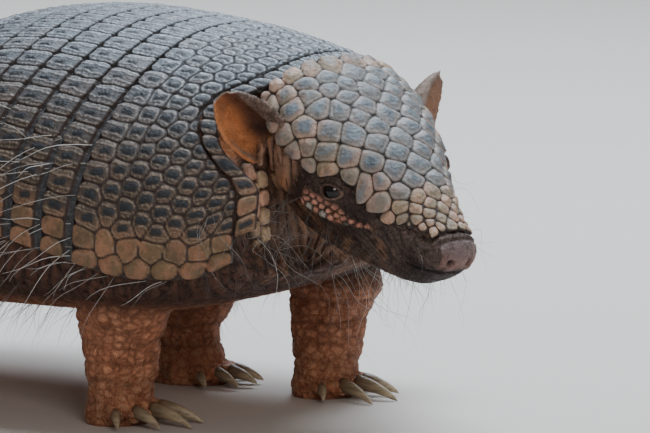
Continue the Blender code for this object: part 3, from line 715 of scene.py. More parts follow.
# ---- skin ----------------------------------------------------------------------------------
# One hide over trunk, neck, head, ears, legs and feet: a single closed surface, moulded with
# lids round the eyes, mouth, nostrils, nose pad, rows of beads under the eye, neck scutes,
# wrinkles, and small scales on the legs. The armour lies over it.
LIMBS = ("front_right", "front_left", "hind_left", "hind_right")
FLESH = ("trunk", "neck", "head", "ear_left", "ear_right") \
    + tuple(f"{part}_{limb}" for part in ("leg", "foot") for limb in LIMBS)
EYE_AT = (27.9, 60.0, -20.5)
EYE_GAZE = (0.93, -0.34, 0.12)
EYE_TILT = math.radians(29)
EYE_RADIUS = 4.8
LID_GAP = 0.45
EAR_AT = (36.0, 22.0, -29.0)
SKIN_VOXEL = 0.75
SKIN_FACES = 190000
SKIN_SWELL = 0.4             # makes the separate solids of the flesh meet
SMOOTH_ROUNDS = 60
COVERED_DEPTH = 0.6          # how far the hide under the armour lies back
SCALE_PITCH = 4.7            # scales of legs and trunk
FINE_PITCH = 1.9             # scales of head and ears
NECK_FOLD = 4.2
SLACK_FOLD = 5.6
LEG_RING = 9.0
JAW_CREASE = 3.2
BEAD_PINK = (0.62, 0.30, 0.215)
BEAD_WHITE = (0.62, 0.57, 0.50)
NECK_SCUTE_BUFF = (0.54, 0.380, 0.240)
NECK_SCUTE_PINK = (0.62, 0.365, 0.250)
HIDE = (0.055, 0.025, 0.016)


def eye_frame(side):
    """Centre of an eye, and its long, up and outward directions."""
    centre = head_point(side * EYE_AT[0], EYE_AT[1], EYE_AT[2])
    outward = HEAD_FRAME @ np.array((side * EYE_GAZE[0], EYE_GAZE[1], EYE_GAZE[2]))
    outward /= np.linalg.norm(outward)
    long = HEAD_FRAME @ np.array((0, -math.cos(EYE_TILT), math.sin(EYE_TILT)))
    long -= outward * (long @ outward)
    long /= np.linalg.norm(long)
    up = np.cross(outward, long) * (-1 if side > 0 else 1)
    if up[2] < 0:
        up = -up
    return centre, long, up, outward


def flesh_body():
    """The flesh solids joined in one object, a little swollen so that they meet."""
    shape = bmesh.new()
    for name in FLESH:
        part = bmesh.new()
        part.from_mesh(nodes[name].data)
        bmesh.ops.remove_doubles(part, verts=part.verts, dist=1e-6)
        part.normal_update()
        for vertex in part.verts:
            vertex.co += vertex.normal * SKIN_SWELL * MM
        copy = bpy.data.meshes.new(name)
        part.to_mesh(copy)
        part.free()
        shape.from_mesh(copy)
        bpy.data.meshes.remove(copy)
    for side in (-1, 1):
        centre = eye_frame(side)[0]
        bmesh.ops.create_icosphere(shape, subdivisions=4, radius=(EYE_RADIUS + LID_GAP) * MM,
                                   matrix=Matrix.Translation(Vector(centre * MM)))
    mesh = bpy.data.meshes.new("flesh")
    shape.to_mesh(mesh)
    shape.free()
    return in_scene("flesh", mesh)


def baked_mesh(body):
    """The object's mesh with its modifiers applied; the object itself is removed."""
    bpy.context.view_layer.update()
    result = bpy.data.meshes.new_from_object(
        body.evaluated_get(bpy.context.evaluated_depsgraph_get()))
    old = body.data
    bpy.data.objects.remove(body)
    bpy.data.meshes.remove(old)
    return result


def mesh_points(mesh):
    """The mesh's points, in mm."""
    points = np.empty(len(mesh.vertices) * 3, np.float32)
    mesh.vertices.foreach_get("co", points)
    return points.reshape(-1, 3).astype(float) / MM


def mesh_normals(mesh):
    """The unit normal at each of the mesh's points."""
    normals = np.empty(len(mesh.vertices) * 3, np.float32)
    mesh.vertex_normals.foreach_get("vector", normals)
    return normals.reshape(-1, 3).astype(float)


def refine_near(mesh, places, reach):
    """Splits the faces near the places once."""
    shape = bmesh.new()
    shape.from_mesh(mesh)
    at = mesh_points(mesh)
    near = np.zeros(len(at), bool)
    for place in places:
        near |= np.linalg.norm(at - place, axis=1) < reach
    shape.verts.ensure_lookup_table()
    chosen = set()
    for k in np.flatnonzero(near):
        chosen.update(shape.verts[int(k)].link_edges)
    bmesh.ops.subdivide_edges(shape, edges=list(chosen), cuts=1, use_grid_fill=True)
    bmesh.ops.triangulate(shape, faces=[f for f in shape.faces if len(f.verts) > 4])
    shape.to_mesh(mesh)
    shape.free()


def relax(mesh, points, strength, rounds):
    """Moves each point towards the mean of its neighbours, by its own strength."""
    edges = np.empty(len(mesh.edges) * 2, np.int32)
    mesh.edges.foreach_get("vertices", edges)
    edges = edges.reshape(-1, 2)
    count = len(points)
    one, two = edges[:, 0], edges[:, 1]
    valence = np.bincount(one, minlength=count) + np.bincount(two, minlength=count)
    for _ in range(rounds):
        mean = np.empty_like(points)
        for axis in range(3):
            total = np.bincount(one, points[two, axis], count)
            total += np.bincount(two, points[one, axis], count)
            mean[:, axis] = total / np.maximum(valence, 1)
        points = points + (mean - points) * strength[:, None]
    return points


def cells(points, pitch, seed):
    """Irregular cells about pitch across in space: boundary distance and a number each.

    Each cube of the grid holds one site, at a place that only its own key and seed settle.
    """
    grid = points / pitch
    corner = np.floor(grid).astype(np.int64)
    best = np.full(len(points), np.inf)
    second = np.full(len(points), np.inf)
    place = np.zeros_like(points)
    rival = np.zeros_like(points)
    number = np.zeros(len(points))
    for step in np.ndindex(3, 3, 3):
        cell = corner + step - 1
        key = (cell * (73856093, 19349663, 83492791)).sum(1) + seed * 9176
        jitter = np.stack([np.mod(np.sin(key * k % 6.2831853 + k) * 43758.5453, 1.0)
                           for k in (1.3, 2.1, 3.7)], -1)
        site = cell + 0.15 + 0.7 * jitter
        square = ((grid - site) ** 2).sum(1)
        closer = square < best
        between = ~closer & (square < second)
        second = np.where(closer, best, np.where(between, square, second))
        rival = np.where(closer[:, None], place, np.where(between[:, None], site, rival))
        place = np.where(closer[:, None], site, place)
        number = np.where(closer, jitter[:, 0], number)
        best = np.where(closer, square, best)
    apart = np.maximum(np.linalg.norm(place - rival, axis=1), 1e-6)
    return (second - best) / (2 * apart) * pitch, number


def ear_frame(side):
    """Root of an ear, the direction it stands in, and the one its open side faces."""
    root = head_point(side * EAR_AT[0], EAR_AT[1], EAR_AT[2])
    turn = np.array(HEAD_TURN)
    out = turn @ np.array((side * 0.76, 0.08, 0.0)) + np.array((0, 0, 0.64))
    out /= np.linalg.norm(out)
    facing = turn @ np.array((side * 0.55, -0.80, -0.05))
    facing -= out * (facing @ out)
    return root, out, facing / np.linalg.norm(facing)


def ear_shares(points):
    """Mask of the ears, height up them and place across in mm, and the way they face."""
    share, height, width = np.zeros((3, len(points)))
    facing = np.zeros_like(points)
    for side in (-1, 1):
        root, out, front = ear_frame(side)
        away = points - root
        up = away @ out
        lateral = np.linalg.norm(away - up[:, None] * out, axis=1)
        own = smoothstep(2, 6, up) * (1 - smoothstep(17, 20, lateral))
        closer = own > share
        share = np.where(closer, own, share)
        height = np.where(closer, up, height)
        width = np.where(closer, -side * (away @ np.cross(out, front)), width)
        facing = np.where(closer[:, None], front, facing)
    return share, height, width, facing


def head_places(points):
    """The body's frame to the head's: s left, t forward from the nape, n up."""
    local = (points - HEAD_ORIGIN) @ HEAD_FRAME
    return local[:, 0], -local[:, 1], local[:, 2]


def neck_plates(points):
    """Two loose columns of rounded scutes between the collar and the cheek.

    Returns the mask of the scutes, that of their seams, and a chance for each, 0 to 1.
    """
    x, y, z = points.T
    # The head turns right, so the collar lies further from it on the left.
    across = np.abs(x) - np.where(x > 0, 12.5, 0.0)
    best = np.full(len(points), np.inf)
    number = np.zeros(len(points))
    for column, (inset, top, pitch) in enumerate(((56.5, 116.0, 8.3), (48.3, 112.0, 8.1))):
        for row in range(6):
            sideways = np.abs(across - inset + 0.5 * row) / 1.02
            apart = np.abs(z - top + pitch * row)
            gap = (sideways ** 3 + apart ** 3) ** (1 / 3)
            number = np.where(gap < best, column + 0.37 * row, number)
            best = np.minimum(best, gap)
    ahead = smoothstep(-186, -190, y) * smoothstep(-204, -200, y)
    low_end = smoothstep(83, 86, z)
    seam = np.exp(-((best - 4.1) / 0.45) ** 2) * ahead * low_end
    return ahead * low_end * (1 - smoothstep(3.3, 3.9, best)), seam, np.mod(number * 1.7, 1.0)


def cheek_beads(s, t, n, ear):
    """Three rows of beads under the eye: mask, height share and colour of each point."""
    at = n + 30.4 - 0.27 * (t - 61) - 0.25 * np.maximum(0, t - 72)
    half = 4.7 - 3.0 * smoothstep(62, 76, t)
    cheek = np.exp(-(at / half) ** 6) * smoothstep(49, 52, t)
    cheek = cheek * (1 - smoothstep(80, 83, t)) * (np.abs(s) > 15) * (1 - ear)
    rng = np.random.default_rng(9)
    rows = [(row, k) for row in range(3) for k in range(10)]
    sites = np.array([(50.5 + 3.6 * k + 1.8 * (row % 2), 3.1 - 3.1 * row) for row, k in rows])
    sites = sites + rng.uniform(-0.4, 0.4, sites.shape)
    white = np.array([row == 2 and k in (1, 3, 6) for row, k in rows])
    light = rng.uniform(0.75, 1.2, len(sites))
    beaded = cheek > 0.01
    edge, nearest = voronoi(np.stack([t, at], -1)[beaded], sites, 0.4)
    bead = np.zeros(len(t))
    bead[beaded] = smoothstep(0.0, 0.8, edge)
    tone = np.tile(np.array(BEAD_PINK), (len(t), 1))
    tone[beaded] = np.where(white[nearest][:, None], BEAD_WHITE, BEAD_PINK) \
        * light[nearest][:, None]
    return cheek, bead, tone


def mould_lids(points, normals, height, moved):
    """Skin bulges over each eyeball and opens in an almond, and soft folds ring it.

    Returns the moved points and the masks of the lids' rims, their folds, the sockets and
    the lower halves.
    """
    lid, lid_fold, socket, lower = np.zeros((4, len(points)))
    for side in (-1, 1):
        centre, long, up, outward = eye_frame(side)
        away = points - centre
        along, rise, out = away @ long, away @ up, away @ outward
        distance = np.linalg.norm(away, axis=1)
        near = (distance < 15) & (out > -1)
        arch = np.where(rise > 0, 3.1, 2.6)
        almond = (np.abs(along / 4.8) ** 1.7 + np.abs(rise / arch) ** 1.9) ** (1 / 1.8)
        beyond = (almond - 1) * 3.0
        direction = away / np.maximum(distance, 1e-6)[:, None]
        opening = near & (out > 0) & (almond < 1.0) & (distance < 9)
        folds = near & ~opening
        wave = np.cos(2 * math.pi * (beyond - 0.35) / 1.75)
        ripple = 0.38 * wave * np.exp(-beyond / 4.5) * smoothstep(-0.2, 0.4, beyond)
        lift = 0.30 * np.exp(-((beyond - 0.3) / 0.5) ** 2)
        target = np.maximum(distance, EYE_RADIUS + LID_GAP * 0.8)
        lifted = centre + direction * (target + ripple + lift)[:, None]
        weight = np.where(folds, 1 - smoothstep(5.5, 9.5, beyond), 0.0)[:, None]
        moved = moved * (1 - weight) + (lifted + normals * 0.15 * height[:, None]) * weight
        sunk = centre + direction * (EYE_RADIUS - 1.3)
        moved = np.where(opening[:, None], sunk, moved)
        lid = np.maximum(lid, np.where(folds, np.exp(-((beyond - 0.35) / 0.42) ** 2), 0))
        lower = np.where(near, 1 - smoothstep(-0.8, 0.4, rise - 0.25 * along), lower)
        crease = np.where(folds, 0.5 - 0.5 * wave, 0)
        lid_fold = np.maximum(lid_fold, crease * np.exp(-beyond / 4.0) * (beyond > 0.3))
        socket = np.maximum(socket, np.where(near, np.exp(-(beyond / 5.0) ** 2), 0))
    return moved, lid, lid_fold, socket, lower


def mould_skin(points, normals):
    """Moves the skin's points and returns them with their colours and masks."""
    s, t, n = head_places(points)
    x, y, z = points.T
    ear, ear_height, ear_width, ear_front = ear_shares(points)
    head = smoothstep(6, 24, t) * (np.abs(s) < 48) * (n > -80) * (1 - ear)
    leg = (1 - smoothstep(46, 60, z)) * (1 - head)
    foot = 1 - smoothstep(16, 28, z)
    neck = (1 - smoothstep(-200, -182, y)) * (1 - smoothstep(38, 50, t)) * (1 - ear) \
        * smoothstep(58, 72, z)
    head = head * (1 - neck)
    belly = np.clip(1 - leg - head - neck - ear, 0, 1)

    # Small scales: raised on the legs and feet, faint on the trunk, fine on head and ears.
    warp = np.stack([wobble(points, 6.0, seed) for seed in (71, 72, 73)], -1)
    scale_edge, scale_number = cells((points + 0.5 * warp) * (1, 1, 1.35), SCALE_PITCH, 3)
    crack = 1 - smoothstep(0.05, 0.6, scale_edge)
    pad = smoothstep(0.25, 1.5, scale_edge)
    height = leg * (0.24 * pad - 0.24 * crack) + belly * (0.16 * pad - 0.14 * crack)
    fine_edge = cells(points * (1.0, 1.0, 0.75), FINE_PITCH, 5)[0]
    fine_crack = 1 - smoothstep(0.05, 0.45, fine_edge)
    height += (0.10 * head + 0.20 * ear) * (smoothstep(0.1, 0.8, fine_edge) - fine_crack)

    # Ears: a hollow along the middle of the open side and a rolled rim in front of it.
    facing = (normals * ear_front).sum(1)
    open_side = ear * smoothstep(0.0, 0.45, facing)
    height -= 1.0 * open_side * np.exp(-((ear_width + 0.5) / 4.5) ** 2)
    height += 1.1 * open_side * smoothstep(5.0, 7.5, ear_width)

    # Wrinkles: standing folds on the neck, slack folds on the sides, rings round the legs
    # and creases on the jaw. The legs flare towards the trunk.
    ahead = -0.84 * y - 0.54 * np.abs(x) + 1.5 * wobble(points, 11.0, 81)
    fold = np.abs(np.sin(math.pi * ahead / NECK_FOLD))
    neck_crease = (1 - fold) ** 2.5
    height += neck * (1.1 * fold ** 0.8 - 1.1 * neck_crease - 0.4)
    slack = belly * smoothstep(52, 66, z)
    sag = y + 0.5 * z + 2.2 * wobble(points, 13.0, 84)
    sag = np.abs(np.sin(math.pi * sag / SLACK_FOLD))
    slack_crease = (1 - sag) ** 3 * slack
    height += slack * 0.5 * sag - 0.8 * slack_crease
    ring = np.abs(np.sin(math.pi * (z + 1.8 * wobble(points, 12.0, 82)) / LEG_RING))
    height += leg * (0.50 * ring ** 0.7 - 0.4 * (1 - ring) ** 3 - 0.25) * smoothstep(6, 14, z)
    flare = smoothstep(22, 50, z) * (1 - smoothstep(52, 68, z)) * (1 - head)
    height += 1.9 * flare * (1 - np.abs(normals[:, 2]))
    jaw = n + 0.25 * t + 1.4 * wobble(points, 6.0, 83)
    jaw = np.abs(np.sin(math.pi * jaw / JAW_CREASE))
    jaw_crease = (1 - jaw) ** 3 * head * (1 - smoothstep(104, 110, t))
    height -= 0.40 * jaw_crease

    # Mouth, nostrils and the fold behind the nose pad.
    mouth_n = -15.5 - 0.52 * (117.5 - t)
    mouth_reach = smoothstep(97, 109, t)
    mouth = np.exp(-((n - mouth_n) / 0.75) ** 2) * mouth_reach
    height -= 1.3 * mouth
    height += 0.45 * np.exp(-((n - mouth_n - 2.2) / 1.3) ** 2) * mouth_reach
    pad_fold = np.exp(-((t - 110.6 - 0.12 * (n + 5)) / 0.8) ** 2) * smoothstep(-15, -9, n)
    height -= 0.9 * pad_fold
    nostril = np.zeros(len(points))
    for side in (-1, 1):
        gap = np.hypot(s - side * 5.2, (n + 9.4) * 0.9)
        nostril = np.maximum(nostril, np.exp(-(gap / 1.75) ** 4) * (t > 111))
    height -= 2.6 * nostril
    nose = smoothstep(110.5, 113, t) * smoothstep(-14.5, -11.5, n) * (np.abs(s) < 9.5)
    lips = smoothstep(98, 110, t) * (1 - smoothstep(-14.5, -11.5, n - 0.3 * (t - 117)))
    height += 0.35 * nose * np.exp(-((n + 9) / 4) ** 2)

    cheek, bead, bead_tone = cheek_beads(s, t, n, ear)
    height += cheek * (1.3 * bead - 0.45)

    # Hide under the armour lies back, and the neck scutes stand over the folds.
    covered = belly * smoothstep(-1, 3, z - curve(SHELL_MARGIN, y)) * (y > -186) * (y < 86)
    height = height * (1 - covered) - COVERED_DEPTH * covered
    plate, plate_seam, plate_number = neck_plates(points)
    plate = plate * (1 - ear)
    plate_seam = plate_seam * (1 - ear)
    height = height * (1 - 0.8 * np.maximum(plate, plate_seam)) + 1.5 * plate - 0.4 * plate_seam

    moved, lid, lid_fold, socket, lower = mould_lids(points, normals, height,
                                                     points + normals * height[:, None])

    # Colours, laid one over another from the body up to the finest parts.
    patch = wobble(points, 14, 91)
    mottle = wobble(points, 4.0, 92)
    fleck = wobble(points, 2.0, 93)
    near_cheek = neck * (1 - smoothstep(-20, 5, s))
    # Warm crests of the neck folds, partly a painted highlight.
    warm_crest_and_highlight = smoothstep(0.35, 0.9, fold) * smoothstep(-0.7, 0.5, patch)
    neck_shadow = np.clip(1.2 * neck_crease, 0, 1) * (0.45 * neck + 0.45 * near_cheek)
    throat = head * smoothstep(30, 44, -n) * (1 - smoothstep(92, 108, t))
    cheek_stain = smoothstep(16, 26, -n) * (1 - smoothstep(86, 100, t))
    plate_tone = np.where((plate_number > 0.5)[:, None], NECK_SCUTE_BUFF, NECK_SCUTE_PINK)
    plate_share = np.clip(plate * 1.2, 0, 1) * (1 - 0.3 * smoothstep(0, 1, fleck))
    inner = ear * smoothstep(-0.1, 0.35, facing)
    far_ear = smoothstep(0, 20, s) * ear
    rim = ear * (1 - smoothstep(0.25, 0.6, np.abs(facing)))
    hollow = np.exp(-((ear_width - 1.5) / 5.5) ** 2) * (1 - smoothstep(9, 24, ear_height))
    # The ears' hollows, painted dark as shade.
    hollow_shade = inner * np.maximum(hollow, 1 - smoothstep(1, 8, ear_height))
    rolled = inner * smoothstep(6.0, 8.0, ear_width)
    colours = np.tile(np.array(HIDE), (len(points), 1))
    for colour, share in (
            # trunk: ruddy folds, kept dark partly as painted shade under the armour's edge, and
            # painted shade in the creases
            ((0.105, 0.040, 0.022), slack * (0.25 + 0.35 * patch + 0.4 * smoothstep(0.5, 1, sag))),
            ((0.040, 0.026, 0.022), 0.9 * slack_crease),
            # legs: ruddy hide, paler scales, dark cracks, and painted shade in the ring creases;
            # greyer pads on the feet, faint cracks on the trunk
            ((0.47, 0.185, 0.095), leg * (0.85 + 0.15 * patch)),
            ((0.76, 0.375, 0.215), leg * pad * 0.55 * (0.3 + scale_number)),
            ((0.150, 0.060, 0.036), leg * np.maximum(crack * 0.55, 0.7 * (1 - ring) ** 3)),
            ((0.30, 0.20, 0.12), foot * pad * 0.5),
            ((0.070, 0.040, 0.030), belly * crack * 0.5),
            # neck: fawn; the crests of the standing folds warmer, partly their own tone and partly
            # a painted highlight, with painted shadow in the creases
            ((0.42, 0.245, 0.165), neck * 0.9),
            ((0.60, 0.295, 0.155), warm_crest_and_highlight * (0.45 * neck + 0.55 * near_cheek)),
            ((0.020, 0.015, 0.014), neck_shadow),
            # head: grey-brown muzzle, dark sides, ruddy throat and stains, and painted shade in
            # the jaw creases
            ((0.112, 0.077, 0.065), head),
            ((0.034, 0.020, 0.016), head * 0.93 * (1 - smoothstep(72, 90, t))),
            ((0.150, 0.066, 0.034), throat * (0.6 + 0.4 * mottle)),
            ((0.24, 0.120, 0.062), head * 0.75 * smoothstep(0.1, 1.0, mottle) * cheek_stain),
            ((0.030, 0.020, 0.017), head * 0.7 * smoothstep(0.2, 1.0, fleck)),
            ((0.020, 0.014, 0.012), np.clip(jaw_crease * 1.4, 0, 1) * 0.85),
            # nose; painted shadow on the lips under it, painted shade in the mouth line and the
            # nostrils; eye sockets
            ((0.165, 0.118, 0.114), nose * 0.9),
            ((0.27, 0.145, 0.120), nose * 0.6 * smoothstep(5, 9, -n)),
            ((0.022, 0.014, 0.012), lips * 0.75),
            ((0.012, 0.008, 0.008), np.clip(1.3 * mouth + nostril, 0, 1)),
            ((0.092, 0.058, 0.048), socket * 0.8),
            # beads of the cheek, scutes of the neck; lids with a pale rim, paler on the lower lid
            # partly as a painted highlight, and painted shade in their folds
            (bead_tone, cheek * bead * 1.3),
            ((0.030, 0.022, 0.020), plate_seam * 0.85),
            (plate_tone, plate_share),
            ((0.27, 0.175, 0.135), lid * (0.15 + 0.75 * lower)),
            ((0.022, 0.016, 0.014), lid_fold * 0.8),
            # ears: fawn backs; red-brown inside, partly painted light shining through, with
            # painted light on the side away from the rolled rim and painted shade towards it and
            # in the hollows; pale rims
            ((0.200, 0.150, 0.115), ear),
            ((0.085, 0.062, 0.050), ear * (1 - inner) * fine_crack * 0.8),
            ((0.48, 0.165, 0.058), inner),
            ((0.17, 0.070, 0.036), inner * 0.7 * smoothstep(0.0, 1.0, mottle)),
            ((0.10, 0.042, 0.022), inner * 0.3 * smoothstep(0.3, 1.1, patch)),
            ((0.62, 0.245, 0.100), inner * 0.6 * (1 - smoothstep(-6, 0, ear_width))),
            ((0.070, 0.025, 0.013), inner * 0.9 * smoothstep(-3.5, 4.0, ear_width)),
            ((0.30, 0.215, 0.160), rim * 0.8),
            ((0.030, 0.013, 0.009), hollow_shade * 0.92),
            ((0.215, 0.150, 0.118), rolled * 0.9),
            ((0.070, 0.048, 0.040), rolled * fine_crack * 0.8),
            ((0.240, 0.180, 0.145), far_ear * 0.75)):
        colours += (np.array(colour) - colours) * np.clip(share, 0, 1)[:, None]
    masks = {"scaly": np.clip(0.35 * leg + 0.6 * head * (1 - nose), 0, 1), "wet": nose,
             "slack": np.clip(slack + neck + 0.5 * head, 0, 1) * (1 - plate)}
    return moved, np.clip(colours, 0.004, 1), masks


def calc(tree, operation, first, second):
    """A sum of two numbers or outputs, such as MULTIPLY."""
    return node(tree, "ShaderNodeMath", {0: first, 1: second}, operation=operation).outputs[0]


def skin_material():
    """The moulded tint, broken up by small scales, wrinkles, pores and stains, with painted shade
    in the creases.
    """
    material, tree, shader = shade_tree("armadillo_skin")
    tint = node(tree, "ShaderNodeAttribute", attribute_name="tint").outputs["Color"]
    fine = noise(tree, 1500, 3, 0.6)
    stain = noise(tree, 160, 5, 0.65)
    broad = noise(tree, 60, 4)
    furrow = noise(tree, 330, 4, 0.6, (1, 1, 0.3))
    place = node(tree, "ShaderNodeTexCoord").outputs["Object"]
    pebble, crackle = (
        node(tree, "ShaderNodeTexVoronoi", {"Vector": place, "Scale": scale},
             feature="DISTANCE_TO_EDGE").outputs["Distance"] for scale in (360.0, 950.0))
    dark = times(tree, tint, (0.40, 0.34, 0.32))
    light = times(tree, tint, (1.75, 1.60, 1.50))
    body = mix(tree, ramp(tree, stain, 0.42, 0.66, 0.0, 0.62), tint, dark)
    body = mix(tree, ramp(tree, broad, 0.5, 0.7, 0.0, 0.35), body, light)
    body = mix(tree, ramp(tree, fine, 0.45, 0.72, 0.0, 0.55), body, light)
    seams = ramp(tree, pebble, 0.02, 0.13, 1.0, 0.0)
    scaly = calc(tree, "MULTIPLY", seams, mask(tree, "scaly"))
    body = mix(tree, ramp(tree, scaly, 0.0, 1.0, 0.0, 0.5), body, dark)
    # Painted shade in the fine creases of slack skin, neck and head.
    creases = calc(tree, "MULTIPLY", ramp(tree, furrow, 0.36, 0.47, 1.0, 0.0),
                   mask(tree, "slack"))
    body = mix(tree, ramp(tree, creases, 0.0, 1.0, 0.0, 0.85), body, dark)
    tree.links.new(body, shader.inputs["Base Color"])
    damp = calc(tree, "SUBTRACT", ramp(tree, stain, 0.3, 0.7, 0.46, 0.72),
                ramp(tree, mask(tree, "wet"), 0.0, 1.0, 0.0, 0.20))
    tree.links.new(damp, shader.inputs["Roughness"])
    shader.inputs["Specular IOR Level"].default_value = 0.27
    shader.inputs["Subsurface Weight"].default_value = 0.05
    shader.inputs["Subsurface Radius"].default_value = (0.0012, 0.0005, 0.0003)
    relief = bump(tree, ramp(tree, crackle, 0.0, 0.25), 0.0003, 0.9)
    relief = bump(tree, scaly, -0.0008, 0.9, relief)
    relief = bump(tree, creases, -0.0010, 0.9, relief)
    relief = bump(tree, fine, 0.0003, 0.8, relief)
    tree.links.new(relief, shader.inputs["Normal"])
    return material


def build_skin():
    """One closed surface round the flesh, smoothed, moulded and thinned."""
    body = flesh_body()
    remesh = body.modifiers.new("one_surface", "REMESH")
    remesh.mode = "VOXEL"
    remesh.voxel_size = SKIN_VOXEL * MM * 1.0
    mesh = baked_mesh(body)
    eyes = [eye_frame(side)[0] for side in (-1, 1)]
    refine_near(mesh, eyes, 12.0)
    points = mesh_points(mesh)
    s, t = head_places(points)[:2]
    ear = ear_shares(points)[0]
    # How much is smoothed away: least at the eyes, the ears, the nose and the soles.
    strength = np.full(len(points), 0.5)
    strength = np.where((t > 10) & (np.abs(s) < 48), 0.16, strength)
    for eye in eyes:
        close = np.linalg.norm(points - eye, axis=1)
        strength = np.minimum(strength, 0.02 + 0.2 * smoothstep(8, 20, close))
    for place, share in ((t > 106, 0.10), (ear > 0.3, 0.035), (points[:, 2] < 16, 0.10),
                         (points[:, 2] < 1.2, 0.0)):
        strength = np.where(place, share, strength)
    points = relax(mesh, points, strength, SMOOTH_ROUNDS)
    mesh.vertices.foreach_set("co", (points * MM).astype(np.float32).ravel())
    mesh.update()
    moved, colours, masks = mould_skin(points, mesh_normals(mesh))
    moved[:, 2] = np.maximum(moved[:, 2], 0.02)
    mesh.vertices.foreach_set("co", (moved * MM).astype(np.float32).ravel())
    layer = mesh.attributes.new("tint", "FLOAT_COLOR", "POINT")
    layer.data.foreach_set("color", np.concatenate(
        [colours, np.ones((len(colours), 1))], 1).astype(np.float32).ravel())
    write_masks(mesh, masks)
    mesh.update()
    mesh.calc_loop_triangles()
    total = len(mesh.loop_triangles)
    if total > SKIN_FACES:
        body = in_scene("skin", mesh)
        thin = body.modifiers.new("thin", "DECIMATE")
        thin.ratio = SKIN_FACES / total
        mesh = baked_mesh(body)
    mesh.materials.clear()
    mesh.materials.append(skin_material())
    mesh.shade_smooth()
    return in_scene("skin", mesh)


settle(build_skin(), "skin", *FLESH)

# ---- eyes ------------------------------------------------------------------------------------
# A wet ball that bulges a little in front, with a wide black pupil, a dark brown iris and a
# brown rim, set in the lids of the skin.
CORNEA_BULGE = 0.035
PUPIL_EDGE = (0.0015, 0.0019)     # metres from the middle of the pupil
IRIS_EDGE = (0.0036, 0.0042)
PUPIL_BLACK = (0.001, 0.001, 0.001)
IRIS_BROWN = (0.005, 0.0025, 0.0018)
RIM_BROWN = (0.020, 0.014, 0.012)


def build_eye(side, word):
    """The eyeball on one side, with its own material about its own pupil."""
    centre, *_, outward = eye_frame(side)
    shape = bmesh.new()
    bmesh.ops.create_icosphere(shape, subdivisions=5, radius=1.0)
    gaze = Vector(outward)
    for vertex in shape.verts:
        facing = vertex.co.dot(gaze)
        bulge = CORNEA_BULGE * max(0.0, (facing - 0.75) / 0.25)
        vertex.co = Vector(centre) * MM + vertex.co * (EYE_RADIUS * (1 + bulge) * MM)
    mesh = bpy.data.meshes.new("eyeball_" + word)
    shape.to_mesh(mesh)
    shape.free()
    material, tree, shader = shade_tree("eye_" + word)
    place = node(tree, "ShaderNodeTexCoord").outputs["Object"]
    pupil_at = centre + outward * EYE_RADIUS
    from_pupil = node(tree, "ShaderNodeVectorMath", {0: place, 1: tuple(pupil_at * MM)},
                      operation="DISTANCE").outputs["Value"]
    iris = mix(tree, ramp(tree, from_pupil, *PUPIL_EDGE), PUPIL_BLACK, IRIS_BROWN)
    ball = mix(tree, ramp(tree, from_pupil, *IRIS_EDGE), iris, RIM_BROWN)
    tree.links.new(ball, shader.inputs["Base Color"])
    shader.inputs["Roughness"].default_value = 0.04
    shader.inputs["Specular IOR Level"].default_value = 0.35
    mesh.materials.append(material)
    mesh.shade_smooth()
    settle(in_scene("eyeball_" + word, mesh), "eye", "eye_" + word)


build_eye(-1, "right")
build_eye(1, "left")

# ---- claws -----------------------------------------------------------------------------------
# Five horn claws on each foot, long and strong on the middle toes in front, shorter behind.
# Each is a curved, flattened cone of horn that grows out of the skin of its toe.
CLAW_SIDES = 14
CLAW_ROWS = 12
CLAW_ROOT = (0.16, 0.105, 0.06)
CLAW_TIP = (0.43, 0.34, 0.22)
CLAW_STREAK = (0.10, 0.07, 0.045)
# toe: place across the foot, reach ahead of it, claw's thickness, share of the claw length
FRONT_TOES = ((-0.95, -4, 3.6, 0.5), (-0.5, 3, 4.4, 0.95), (0.0, 5, 4.6, 1.0),
              (0.48, 2.5, 4.3, 0.75), (0.92, -4, 3.7, 0.55))
HIND_TOES = ((-0.9, -3, 3.4, 0.75), (-0.48, 3, 4.0, 0.95), (0.0, 5, 4.2, 1.0),
             (0.46, 3, 3.9, 0.9), (0.88, -3, 3.4, 0.7))
# limb: side, ankle x and y, sole ahead of the ankle, half width, toes, claw length
FEET = {"front_right": (-1, 56, -124.5, 13, 17.5, FRONT_TOES, 19),
        "front_left": (1, 56, -160.0, 13, 17.5, FRONT_TOES, 19),
        "hind_left": (1, 54, -84.0, 22, 15.5, HIND_TOES, 12),
        "hind_right": (-1, 55, 26.0, 22, 15.5, HIND_TOES, 12)}


def claw_material():
    """Horn, brown at the root and pale at the tip, streaked along its length."""
    material, tree, shader = shade_tree("claw_horn")
    length = mask(tree, "tip")
    streak = noise(tree, 700, 3, 0.6, (1, 0.12, 1))
    body = mix(tree, ramp(tree, length, 0.0, 0.8), CLAW_ROOT, CLAW_TIP)
    body = mix(tree, ramp(tree, streak, 0.4, 0.7, 0.0, 0.6), body, CLAW_STREAK)
    tree.links.new(body, shader.inputs["Base Color"])
    shader.inputs["Roughness"].default_value = 0.42
    tree.links.new(bump(tree, streak, 0.0004, 0.6), shader.inputs["Normal"])
    return material


claw_horn = claw_material()


def claw_shape(root, heading, length, radius):
    """Points of one claw, row by row from the root to the tip."""
    across = np.cross(heading, (0, 0, 1))
    points = []
    for f in np.linspace(0, 1, CLAW_ROWS):
        reach = length * f
        centre = root + heading * reach - np.array((0, 0, length * 0.27 * f * f))
        bend = math.radians(6 + 37.5 * f)
        up = np.array((0, 0, math.cos(bend))) + heading * math.sin(bend)
        size = radius * 1.12 * (1 - f) ** 0.62 + 0.12
        for k in range(CLAW_SIDES):
            angle = 2 * math.pi * k / CLAW_SIDES
            rise = math.sin(angle)
            rise = rise * (1.2 if rise > 0 else 0.85)
            points.append(centre + across * (0.85 * size * math.cos(angle)) + up * (rise * size))
    return np.array(points)


